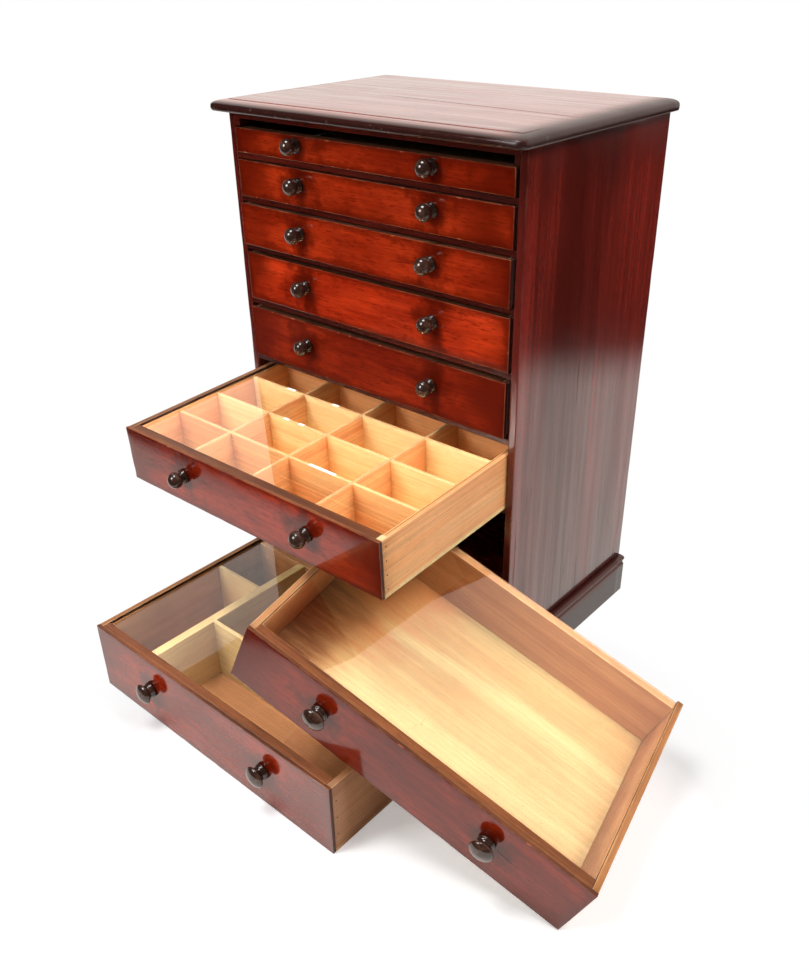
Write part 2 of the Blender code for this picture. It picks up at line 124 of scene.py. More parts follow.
class Graph:
    """Writes a node tree in reading order."""

    def __init__(self, tree: bpy.types.NodeTree) -> None:
        """Keeps the tree that nodes are added to."""
        self.tree = tree

    def feed(self, socket: Socket, value: Value) -> None:
        """Links a socket to an output, or sets its value.

        Args:
            socket: The input to fill.
            value: An output socket, a number or a vector.
        """
        if isinstance(value, bpy.types.NodeSocket):
            self.tree.links.new(value, socket)
        else:
            socket.default_value = value

    def add(
        self, kind: str, inputs: Optional[Dict[Union[str, int], Value]] = None, **settings: object
    ) -> bpy.types.Node:
        """Adds one node.

        Args:
            kind: Blender's name of the node type.
            inputs: Values or links by socket name or number.
            settings: Properties of the node.

        Returns:
            The node.
        """
        node = self.tree.nodes.new(kind)
        for key, value in settings.items():
            setattr(node, key, value)
        for key, value in (inputs or {}).items():
            self.feed(node.inputs[key], value)
        return node

    def attribute(self, name: str, output: str = "Vector") -> Socket:
        """Reads one of the mesh's own attributes."""
        return self.add("ShaderNodeAttribute", attribute_name=name).outputs[output]

    def place(self) -> Tuple[Socket, Socket, Socket]:
        """Reads a point's place in its piece's frame: across, in depth and in height."""
        parts = self.add("ShaderNodeSeparateXYZ", {0: self.attribute("place")})
        return parts.outputs[0], parts.outputs[1], parts.outputs[2]

    def math(self, operation: str, a: Value, b: Value = 0.0, clamp: bool = False) -> Socket:
        """Adds a Math node and gives its result."""
        node = self.add("ShaderNodeMath", {0: a, 1: b}, operation=operation, use_clamp=clamp)
        return node.outputs[0]

    def times(self, a: Value, b: Value) -> Socket:
        """Multiplies two values."""
        return self.math("MULTIPLY", a, b)

    def vector(self, operation: str, a: Value, b: Value) -> Socket:
        """Adds a Vector Math node and gives its vector."""
        return self.add("ShaderNodeVectorMath", {0: a, 1: b}, operation=operation).outputs[0]

    def ramp(self, value: Value, low: Value, high: Value, start: float = 0.0, end: float = 1.0) -> Socket:
        """Maps a value smoothly from one span to another.

        Args:
            value: What is mapped.
            low: Where the result starts.
            high: Where the result ends.
            start: Result at low.
            end: Result at high.

        Returns:
            The mapped value.
        """
        sockets = {"Value": value, "From Min": low, "From Max": high, "To Min": start, "To Max": end}
        node = self.add("ShaderNodeMapRange", sockets, interpolation_type="SMOOTHSTEP", clamp=True)
        return node.outputs["Result"]

    def mix(self, factor: Value, a: Value, b: Value, blend: str = "MIX") -> Socket:
        """Mixes two colours.

        Args:
            factor: Share of the second colour.
            a: First colour.
            b: Second colour.
            blend: Blend mode.

        Returns:
            The mixed colour.
        """
        node = self.add("ShaderNodeMix", data_type="RGBA", blend_type=blend, clamp_factor=True)
        self.feed(node.inputs[0], factor)
        for socket, value in ((node.inputs[6], a), (node.inputs[7], b)):
            plain = not isinstance(value, bpy.types.NodeSocket)
            self.feed(socket, (*value, 1.0) if plain and len(value) == 3 else value)
        return node.outputs[2]

    def between(self, factor: Value, a: Value, b: Value) -> Socket:
        """Mixes two values.

        Args:
            factor: Share of the second value.
            a: First value.
            b: Second value.

        Returns:
            The mixed value.
        """
        node = self.add("ShaderNodeMix", data_type="FLOAT")
        for k, value in ((0, factor), (2, a), (3, b)):
            self.feed(node.inputs[k], value)
        return node.outputs[0]

    def dim(self, colour: Value, level: Socket) -> Socket:
        """Multiplies a colour by a level that changes over the surface."""
        grey = self.add("ShaderNodeCombineXYZ", {0: level, 1: level, 2: level})
        return self.mix(1.0, colour, grey.outputs[0], "MULTIPLY")

    def noise(
        self, vector: Value, scale: float, detail: float = 3.0, rough: float = 0.55, warp: float = 0.0
    ) -> Socket:
        """Adds a Noise texture and gives its value."""
        sockets = {"Vector": vector, "Scale": scale, "Detail": detail, "Roughness": rough, "Distortion": warp}
        return self.add("ShaderNodeTexNoise", sockets).outputs["Fac"]


Group = Tuple[bpy.types.NodeTree, Graph, bpy.types.Node, bpy.types.Node]


def new_group(name: str, inputs: Dict[str, Value], outputs: Sequence[str]) -> Group:
    """Starts a shader node group.

    Args:
        name: Name of the group.
        inputs: Input sockets with their defaults; a sequence makes a vector socket.
        outputs: Names of the value outputs.

    Returns:
        The tree, its graph, and the group's input and output nodes.
    """
    tree = bpy.data.node_groups.new(name, "ShaderNodeTree")
    for label, default in inputs.items():
        kind = "NodeSocketFloat" if isinstance(default, (int, float)) else "NodeSocketVector"
        socket = tree.interface.new_socket(label, in_out="INPUT", socket_type=kind)
        socket.default_value = default
    for label in outputs:
        tree.interface.new_socket(label, in_out="OUTPUT", socket_type="NodeSocketFloat")
    graph = Graph(tree)
    return tree, graph, graph.add("NodeGroupInput"), graph.add("NodeGroupOutput")


class Effects:
    """Shader groups that several finishes share, each built once."""

    @staticmethod
    @lru_cache(maxsize=None)
    def timber() -> bpy.types.NodeTree:
        """Figure, streaks and pores of sawn timber, along the vector's first axis.

        Returns:
            The group.
        """
        sockets = {"Vector": (0.0, 0.0, 0.0), "Along": 3.0, "Across": 24.0}
        outputs = ("Figure", "Streak", "Pore")
        tree, graph, start, end = new_group("Timber grain", sockets, outputs)
        along, across = start.outputs["Along"], start.outputs["Across"]
        stretch = graph.add("ShaderNodeCombineXYZ", {"X": along, "Y": across, "Z": across})
        coarse = graph.vector("MULTIPLY", start.outputs["Vector"], stretch.outputs[0])
        graph.feed(end.inputs["Figure"], graph.noise(coarse, 1.0, 4.0, 0.55, 0.7))
        fine = graph.vector("MULTIPLY", coarse, (3.0, 14.0, 14.0))
        graph.feed(end.inputs["Streak"], graph.noise(fine, 1.0, 4.0, 0.6, 0.25))
        flecks = graph.vector("MULTIPLY", start.outputs["Vector"], (90.0, 760.0, 760.0))
        pores = graph.noise(flecks, 1.0, 1.0, 0.5)
        graph.feed(end.inputs["Pore"], graph.ramp(pores, 0.57, 0.70))
        return tree

    @staticmethod
    @lru_cache(maxsize=None)
    def wear() -> bpy.types.NodeTree:
        """Rubbed arrises and chips, from the distance to the nearest arris.

        Returns:
            The group.
        """
        sockets = {"Vector": (0.0, 0.0, 0.0), "Gap": 1.0, "Width": 0.0012, "Amount": 0.5}
        tree, graph, start, end = new_group("Arris wear", sockets, ("Rubbed", "Chipped"))
        place = start.outputs["Vector"]
        patchy = graph.ramp(graph.noise(place, 45.0, 4.0, 0.65), 0.32, 0.72, 0.15, 1.6)
        reach = graph.times(start.outputs["Width"], patchy)
        near = graph.ramp(start.outputs["Gap"], 0.0, reach, 1.0, 0.0)
        rubbed = graph.math("MULTIPLY", near, start.outputs["Amount"], True)
        graph.feed(end.inputs["Rubbed"], rubbed)
        rare = graph.ramp(graph.noise(place, 70.0, 2.0, 0.5), 0.66, 0.70)
        close = graph.ramp(start.outputs["Gap"], 0.0008, 0.0016, 1.0, 0.0)
        graph.feed(end.inputs["Chipped"], graph.times(rare, close))
        return tree

    @staticmethod
    @lru_cache(maxsize=None)
    def grime() -> bpy.types.NodeTree:
        """Soft blotches of old polish, short scratches along the grain and specks.

        Returns:
            The group.
        """
        sockets = {"Vector": (0.0, 0.0, 0.0)}
        outputs = ("Blotch", "Scratch", "Speck")
        tree, graph, start, end = new_group("Old polish", sockets, outputs)
        place = start.outputs["Vector"]
        clouds = graph.noise(place, 15.0, 5.0, 0.6, 0.4)
        graph.feed(end.inputs["Blotch"], graph.ramp(clouds, 0.34, 0.74))
        lines = graph.noise(graph.vector("MULTIPLY", place, (26.0, 420.0, 420.0)), 1.0, 2.0, 0.5, 0.3)
        some = graph.ramp(graph.noise(place, 18.0, 2.0), 0.50, 0.64)
        scratch = graph.times(graph.ramp(lines, 0.66, 0.72), some)
        graph.feed(end.inputs["Scratch"], scratch)
        graph.feed(end.inputs["Speck"], graph.ramp(graph.noise(place, 420.0, 1.0), 0.72, 0.78))
        return tree


def use_group(graph: Graph, tree: bpy.types.NodeTree, inputs: Dict[str, Value]) -> bpy.types.Node:
    """Places a shader group in a material.

    Args:
        graph: The material's graph.
        tree: The group.
        inputs: Its inputs.

    Returns:
        The group node.
    """
    node = graph.add("ShaderNodeGroup", node_tree=tree)
    for label, value in inputs.items():
        graph.feed(node.inputs[label], value)
    return node


Start = Tuple[bpy.types.Material, Graph, bpy.types.Node, bpy.types.Node]


def new_material(name: str) -> Start:
    """Starts a material with one Principled shader.

    Args:
        name: Name of the material.

    Returns:
        The material, its graph, the shader and the output node.
    """
    made = bpy.data.materials.new(name)
    made.use_nodes = True
    nodes = made.node_tree.nodes
    return made, Graph(made.node_tree), nodes["Principled BSDF"], nodes["Material Output"]


def scaled(colour: Colour, level: float) -> Colour:
    """A colour made darker or lighter."""
    return (level * colour[0], level * colour[1], level * colour[2])


@dataclass(frozen=True)
class Timber:
    """A wood finish: colours, grain scale, polish, wear and dirt."""

    name: str
    dark: Colour
    light: Colour
    worn: Colour
    along: float = 3.0
    across: float = 24.0
    pore: float = 0.5
    streak: float = 0.5
    roughness: float = 0.3
    rough_change: float = 0.15
    wear: float = 0.5
    wear_width: float = 0.0012
    chip: float = 0.0
    grime: float = 0.4
    scratch: float = 0.0
    scratch_colour: Colour = (0.5, 0.4, 0.36)
    speck: float = 0.0
    bump: float = 0.05
    coat: float = 0.0
    coat_roughness: float = 0.10
    specular: float = 0.5
    coordinates: Coordinates = Coordinates.BOARD

    def vectors(self, graph: Graph) -> Tuple[Socket, Value]:
        """Grain coordinates and arris distance of the surface.

        Args:
            graph: The material's graph.

        Returns:
            The vector with the grain along its first axis, and the distance in metres.
        """
        if self.coordinates is Coordinates.BOARD:
            return graph.attribute("grain"), graph.attribute("edge_gap", "Fac")
        place = graph.add("ShaderNodeTexCoord").outputs["Object"]
        upright = self.coordinates is Coordinates.WORLD_Z
        turn = (0.0, math.pi / 2, 0.0) if upright else (0.0, 0.0, 0.0)
        return graph.add("ShaderNodeMapping", {"Vector": place, "Rotation": turn}).outputs[0], 1.0

    def marks(self, graph: Graph, colour: Socket) -> Socket:
        """Stains and seams of one kind of board; a plain board has none."""
        return colour

    def uneven(self, graph: Graph, blotch: Socket) -> Socket:
        """Roughness that rises where the old polish is uneven."""
        return graph.ramp(blotch, 0.0, 1.0, self.roughness, self.roughness + self.rough_change)

    def polish(self, graph: Graph, shader: bpy.types.Node, blotch: Socket) -> None:
        """Roughness and coat of the surface.

        Args:
            graph: The material's graph.
            shader: The Principled shader.
            blotch: Where the old polish is uneven.
        """
        graph.feed(shader.inputs["Roughness"], self.uneven(graph, blotch))
        shader.inputs["Coat Weight"].default_value = self.coat
        shader.inputs["Coat Roughness"].default_value = self.coat_roughness

    def board_colour(self, graph: Graph, timber: bpy.types.Node, grime: bpy.types.Node) -> Socket:
        """Colour of the board before its arrises wore: figure, pores, dirt, marks and scratches.

        Args:
            graph: The material's graph.
            timber: Group node of the grain.
            grime: Group node of the old polish.

        Returns:
            The colour.
        """
        figure = graph.ramp(timber.outputs["Figure"], 0.28, 0.72)
        colour = graph.mix(figure, self.dark, self.light)
        low, high = 1.0 - 0.55 * self.streak, 1.0 + 0.28 * self.streak
        colour = graph.dim(colour, graph.ramp(timber.outputs["Streak"], 0.35, 0.70, low, high))
        pore = graph.times(timber.outputs["Pore"], self.pore)
        colour = graph.mix(pore, colour, scaled(self.dark, 0.30))
        dirt = graph.times(grime.outputs["Blotch"], self.grime)
        colour = graph.mix(dirt, colour, scaled(self.dark, 0.45))
        if self.coordinates is Coordinates.BOARD:
            colour = graph.dim(colour, graph.attribute("tone", "Fac"))
        colour = self.marks(graph, colour)
        if self.scratch:
            mark = graph.times(grime.outputs["Scratch"], self.scratch)
            colour = graph.mix(mark, colour, self.scratch_colour)
        if self.speck:
            dent = graph.times(grime.outputs["Speck"], self.speck)
            colour = graph.mix(dent, colour, scaled(self.dark, 0.20))
        return colour

    def rub(self, graph: Graph, colour: Socket, grain: Socket, gap: Value) -> Socket:
        """Rubs the polish off the arrises and chips them.

        Args:
            graph: The material's graph.
            colour: Colour of the board.
            grain: Grain coordinates.
            gap: Distance from the nearest arris.

        Returns:
            The worn colour.
        """
        edge = {"Vector": grain, "Gap": gap, "Width": self.wear_width, "Amount": self.wear}
        wear = use_group(graph, Effects.wear(), edge)
        colour = graph.mix(wear.outputs["Rubbed"], colour, self.worn)
        if self.chip:
            chip = graph.times(wear.outputs["Chipped"], self.chip)
            colour = graph.mix(chip, colour, scaled(self.worn, 1.5))
        return colour

    def material(self) -> bpy.types.Material:
        """Builds the finish.

        Returns:
            The material.
        """
        made, graph, shader, _ = new_material(self.name)
        grain, gap = self.vectors(graph)
        scale = {"Vector": grain, "Along": self.along, "Across": self.across}
        timber = use_group(graph, Effects.timber(), scale)
        grime = use_group(graph, Effects.grime(), {"Vector": grain})
        colour = self.board_colour(graph, timber, grime)
        if self.coordinates is Coordinates.BOARD:
            colour = self.rub(graph, colour, grain, gap)
        graph.feed(shader.inputs["Base Color"], colour)
        shader.inputs["Specular IOR Level"].default_value = self.specular
        self.polish(graph, shader, grime.outputs["Blotch"])
        raised = graph.times(timber.outputs["Streak"], 0.5)
        height = graph.math("SUBTRACT", raised, timber.outputs["Pore"])
        sockets = {"Strength": self.bump, "Distance": 0.0004, "Height": height}
        graph.feed(shader.inputs["Normal"], graph.add("ShaderNodeBump", sockets).outputs[0])
        return made


@dataclass(frozen=True)
class FrontTimber(Timber):
    """Polished drawer front with the dirt of hands round its knobs."""

    smudge: float = 0.75
    knob_u: float = KNOB_U
    rim_dirt: float = 0.62
    end_dirt: float = 0.85

    def marks(self, graph: Graph, colour: Socket) -> Socket:
        """Broad, broken smudges round the two knobs, and dirt along the edges and ends.

        Args:
            graph: The material's graph.
            colour: Colour of the clean wood.

        Returns:
            The colour with the dirt.
        """
        across, _, height = graph.place()
        sideways = graph.math("ABSOLUTE", across)
        beside = graph.math("SUBTRACT", sideways, self.knob_u)
        flat = graph.add("ShaderNodeCombineXYZ", {0: beside, 1: height, 2: 0.0})
        reach = graph.add("ShaderNodeVectorMath", {0: flat.outputs[0]}, operation="LENGTH")
        grain = graph.attribute("grain")
        broken = graph.ramp(graph.noise(grain, 38.0, 4.0, 0.6), 0.3, 0.75, 0.55, 1.6)
        near = graph.ramp(graph.times(reach.outputs["Value"], broken), 0.009, 0.036, 1.0, 0.0)
        colour = graph.mix(graph.times(near, self.smudge), colour, scaled(self.dark, 0.30))
        gap = graph.times(graph.attribute("edge_gap", "Fac"), broken)
        soft = graph.ramp(graph.noise(grain, 14.0, 2.0, 0.4), 0.3, 0.7, 0.82, 1.18)
        ends = graph.ramp(graph.times(sideways, soft), 0.118, 0.212, 0.0, self.end_dirt)
        colour = graph.mix(ends, colour, scaled(self.dark, 0.40))
        return graph.mix(graph.ramp(gap, 0.0008, 0.0095, self.rim_dirt, 0.0), colour, scaled(self.dark, 0.32))


@dataclass(frozen=True)
class SideTimber(Timber):
    """Polished side board with a broad dark band up its middle."""

    band: float = 0.6
    low: float = 0.068
    high: float = 0.152

    def cracks(self, graph: Graph) -> Socket:
        """Fine open cracks and scratches along the grain.

        Args:
            graph: The material's graph.

        Returns:
            Where they are.
        """
        grain = graph.attribute("grain")
        lines = graph.noise(graph.vector("MULTIPLY", grain, (9.0, 230.0, 230.0)), 1.0, 2.0, 0.5, 0.4)
        some = graph.ramp(graph.noise(grain, 13.0, 2.0), 0.42, 0.60)
        inside = graph.ramp(graph.attribute("edge_gap", "Fac"), 0.0010, 0.0045)
        return graph.times(graph.times(graph.ramp(lines, 0.655, 0.72), some), inside)

    def marks(self, graph: Graph, colour: Socket) -> Socket:
        """Dark upright band, cracks, a dark front edge, and shade by the plinth and under the top.

        Args:
            graph: The material's graph.
            colour: Colour of the plain board.

        Returns:
            The colour with its marks.
        """
        grain = graph.attribute("grain")
        _, deep, height = graph.place()
        wander = graph.noise(graph.vector("MULTIPLY", grain, (3.0, 40.0, 40.0)), 1.0, 3.0)
        depth = graph.math("ADD", deep, graph.ramp(wander, 0.2, 0.8, -0.022, 0.022))
        rising = graph.ramp(depth, self.low - 0.012, self.low + 0.012)
        falling = graph.ramp(depth, self.high - 0.016, self.high + 0.016, 1.0, 0.0)
        band = graph.times(graph.times(rising, falling), self.band)
        colour = graph.mix(band, colour, scaled(self.dark, 0.55))
        colour = graph.mix(graph.times(self.cracks(graph), 0.50), colour, scaled(self.dark, 0.20))
        stile = graph.ramp(deep, 0.0006, 0.0016, 0.45, 0.0)
        colour = graph.mix(stile, colour, scaled(self.dark, 0.50))
        head = graph.ramp(height, 0.540, 0.637, 0.0, 0.55)
        colour = graph.mix(head, colour, scaled(self.dark, 0.50))
        shade = graph.ramp(height, 0.058, 0.095, 0.55, 0.0)
        return graph.mix(shade, colour, scaled(self.dark, 0.35))

    def polish(self, graph: Graph, shader: bpy.types.Node, blotch: Socket) -> None:
        """Gloss that follows the grain and is gone in the cracks.

        Args:
            graph: The material's graph.
            shader: The Principled shader.
            blotch: Where the old polish is uneven.
        """
        cracks = self.cracks(graph)
        lines = graph.vector("MULTIPLY", graph.attribute("grain"), (2.4, 70.0, 70.0))
        sheen = graph.noise(lines, 1.0, 5.0, 0.65, 0.4)
        figure = graph.ramp(sheen, 0.32, 0.70, 0.50 * self.coat, 1.15 * self.coat)
        whole = graph.math("SUBTRACT", 1.0, cracks)
        graph.feed(shader.inputs["Coat Weight"], graph.times(figure, whole))
        graph.feed(shader.inputs["Roughness"], self.uneven(graph, blotch))
        shader.inputs["Coat Roughness"].default_value = self.coat_roughness


@dataclass(frozen=True)
class PlinthTimber(Timber):
    """Plinth board whose polish is gone in a ragged red band under its moulding."""

    band: Colour = (0.075, 0.012, 0.008)
    top: float = 0.0450
    depth: float = 0.0075

    def bare(self, graph: Graph) -> Socket:
        """Where the polish is gone: the moulding and a ragged band below it.

        Args:
            graph: The material's graph.

        Returns:
            Share of bare wood.
        """
        _, _, height = graph.place()
        ragged = graph.ramp(graph.noise(graph.attribute("grain"), 55.0, 4.0, 0.6), 0.3, 0.7, -0.6, 0.6)
        lower = graph.math("ADD", graph.times(ragged, self.depth), self.top - self.depth)
        return graph.ramp(graph.math("SUBTRACT", height, lower), -0.0006, 0.0012)

    def marks(self, graph: Graph, colour: Socket) -> Socket:
        """Red of the bare wood under the moulding."""
        return graph.mix(graph.times(self.bare(graph), 0.85), colour, self.band)

    def polish(self, graph: Graph, shader: bpy.types.Node, blotch: Socket) -> None:
        """Gloss on the face, none in the band.

        Args:
            graph: The material's graph.
            shader: The Principled shader.
            blotch: Not used.
        """
        bare = self.bare(graph)
        rough = graph.ramp(bare, 0.0, 1.0, self.roughness, 0.36)
        graph.feed(shader.inputs["Roughness"], rough)
        graph.feed(shader.inputs["Coat Weight"], graph.ramp(bare, 0.0, 1.0, self.coat, 0.0))
        shader.inputs["Coat Roughness"].default_value = self.coat_roughness


@dataclass(frozen=True)
class TopTimber(Timber):
    """Top board: a glued seam, and edges that are darker along the right end and the nose."""

    half: float = 0.2195
    seam_y: float = 0.1147
    seam_slope: float = -0.06

    def masks(self, graph: Graph) -> Tuple[Socket, Socket, Socket]:
        """Where the board's edges are dark and where its seam stands open.

        Args:
            graph: The material's graph.

        Returns:
            Shares of the dark right end, of the dark nose and of the seam.
        """
        x, y, _ = graph.place()
        side = graph.ramp(x, self.half - 0.046, self.half - 0.006)
        nose = graph.ramp(y, -0.0205, -0.0100, 1.0, 0.0)
        line = graph.math("SUBTRACT", y, graph.times(x, self.seam_slope))
        off = graph.math("ABSOLUTE", graph.math("SUBTRACT", line, self.seam_y))
        span = graph.times(graph.ramp(x, -0.10, -0.03), graph.ramp(x, 0.175, 0.200, 1.0, 0.0))
        seam = graph.times(graph.ramp(off, 0.0005, 0.0014, 1.0, 0.0), span)
        return side, nose, seam

    def marks(self, graph: Graph, colour: Socket) -> Socket:
        """Dark edges and the open seam.

        Args:
            graph: The material's graph.
            colour: Colour of the plain board.

        Returns:
            The colour with its marks.
        """
        side, nose, seam = self.masks(graph)
        edge = graph.math("MAXIMUM", side, nose)
        colour = graph.mix(graph.times(edge, 0.95), colour, (0.018, 0.006, 0.005))
        return graph.mix(seam, colour, (0.010, 0.004, 0.003))

    def polish(self, graph: Graph, shader: bpy.types.Node, blotch: Socket) -> None:
        """Gloss that follows the grain and is gone along the edges and in the seam.

        Args:
            graph: The material's graph.
            shader: The Principled shader.
            blotch: Where the old polish is uneven.
        """
        side, nose, seam = self.masks(graph)
        lines = graph.vector("MULTIPLY", graph.attribute("grain"), (5.0, 210.0, 210.0))
        sheen = graph.noise(lines, 1.0, 4.0, 0.6, 0.3)
        figure = graph.ramp(sheen, 0.35, 0.68, 0.35 * self.coat, 1.3 * self.coat)
        dull = graph.math("MAXIMUM", graph.math("MAXIMUM", side, nose), seam)
        coat = graph.times(figure, graph.math("SUBTRACT", 1.0, dull))
        graph.feed(shader.inputs["Coat Weight"], coat)
        rough = graph.math("ADD", self.uneven(graph, blotch), graph.times(side, 0.20))
        rough = graph.math("ADD", rough, graph.times(seam, 0.5), True)
        graph.feed(shader.inputs["Roughness"], rough)
        shader.inputs["Coat Roughness"].default_value = self.coat_roughness


@dataclass(frozen=True)
class StainedShadedTimber(Timber):
    """Bottom board with a brown stain over its left end that also serves as painted shadow of the drawer
    above, and painted shade darkest along the wall.
    """

    # Colour of the stain, which also serves as painted shadow of the drawer above.
    stain_and_shade: Colour = (0.47, 0.135, 0.034)
    # Colour along the left wall: dirt and painted shade.
    corner_dirt_and_shade: Colour = (0.095, 0.028, 0.010)
    amount: float = 0.80

    def marks(self, graph: Graph, colour: Socket) -> Socket:
        """The stain with painted shadow, and the dirt and painted shade along the wall, with a ragged end.

        Args:
            graph: The material's graph.
            colour: Colour of the clean board.

        Returns:
            The colour with the stain.
        """
        u, v, _ = graph.place()
        lines = graph.vector("MULTIPLY", graph.attribute("grain"), (9.0, 60.0, 60.0))
        ragged = graph.ramp(graph.noise(lines, 1.0, 5.0, 0.65), 0.25, 0.75, -0.030, 0.030)
        across = graph.math("ADD", u, ragged)
        slant = graph.math("SUBTRACT", across, graph.times(v, 0.42))
        colour = graph.mix(graph.ramp(slant, -0.220, -0.115, self.amount, 0.0), colour, self.stain_and_shade)
        return graph.mix(graph.ramp(across, -0.200, -0.125, self.amount, 0.0), colour, self.corner_dirt_and_shade)


@dataclass(frozen=True)
class Lacquer:
    """Ebonised, polished wood of the turned knobs."""

    name: str = "ebonised_knob"
    colour: Colour = (0.034, 0.015, 0.010)
    worn: Colour = (0.095, 0.042, 0.027)

    def material(self) -> bpy.types.Material:
        """Builds the finish.

        Returns:
            The material.
        """
        made, graph, shader, _ = new_material(self.name)
        place = graph.attribute("grain")
        grime = use_group(graph, Effects.grime(), {"Vector": place})
        rubbed = graph.ramp(graph.noise(place, 120.0, 4.0, 0.6), 0.45, 0.75)
        graph.feed(shader.inputs["Base Color"], graph.mix(rubbed, self.colour, self.worn))
        rough = graph.ramp(grime.outputs["Blotch"], 0.0, 1.0, 0.14, 0.24)
        graph.feed(shader.inputs["Roughness"], rough)
        sockets = {"Strength": 0.08, "Distance": 0.0002, "Height": graph.noise(place, 900.0, 2.0)}
        graph.feed(shader.inputs["Normal"], graph.add("ShaderNodeBump", sockets).outputs[0])
        shader.inputs["Coat Weight"].default_value = 0.4
        shader.inputs["Coat Roughness"].default_value = 0.08
        return made


@dataclass(frozen=True)
class Pane:
    """Old drawn glass: clear, slightly uneven, and open to light for shadows."""

    name: str = "old_glass"
    tint: Colour = (0.985, 0.995, 0.985)

    def material(self) -> bpy.types.Material:
        """Builds the finish.

        Returns:
            The material.
        """
        made, graph, shader, output = new_material(self.name)
        shader.inputs["Base Color"].default_value = (*self.tint, 1.0)
        shader.inputs["Roughness"].default_value = 0.0
        shader.inputs["IOR"].default_value = 1.5
        shader.inputs["Transmission Weight"].default_value = 1.0
        place = graph.add("ShaderNodeTexCoord").outputs["Object"]
        sockets = {"Strength": 0.05, "Distance": 0.002, "Height": graph.noise(place, 14.0, 2.0, 0.4)}
        graph.feed(shader.inputs["Normal"], graph.add("ShaderNodeBump", sockets).outputs[0])
        clear = graph.add("ShaderNodeBsdfTransparent", {0: (*self.tint, 1.0)})
        path = graph.add("ShaderNodeLightPath")
        shades = {0: path.outputs["Is Shadow Ray"], 1: shader.outputs[0], 2: clear.outputs[0]}
        graph.feed(output.inputs["Surface"], graph.add("ShaderNodeMixShader", shades).outputs[0])
        return made


@dataclass(frozen=True)
class Iron:
    """Rusted heads of the small nails."""

    name: str = "old_iron"
    colour: Colour = (0.030, 0.014, 0.009)
    rust: Colour = (0.09, 0.035, 0.016)

    def material(self) -> bpy.types.Material:
        """Builds the finish.

        Returns:
            The material.
        """
        made, graph, shader, _ = new_material(self.name)
        place = graph.add("ShaderNodeTexCoord").outputs["Object"]
        rusted = graph.ramp(graph.noise(place, 900.0, 3.0), 0.4, 0.6)
        graph.feed(shader.inputs["Base Color"], graph.mix(rusted, self.colour, self.rust))
        shader.inputs["Roughness"].default_value = 0.6
        return made


FINISH: Dict[str, bpy.types.Material] = {}


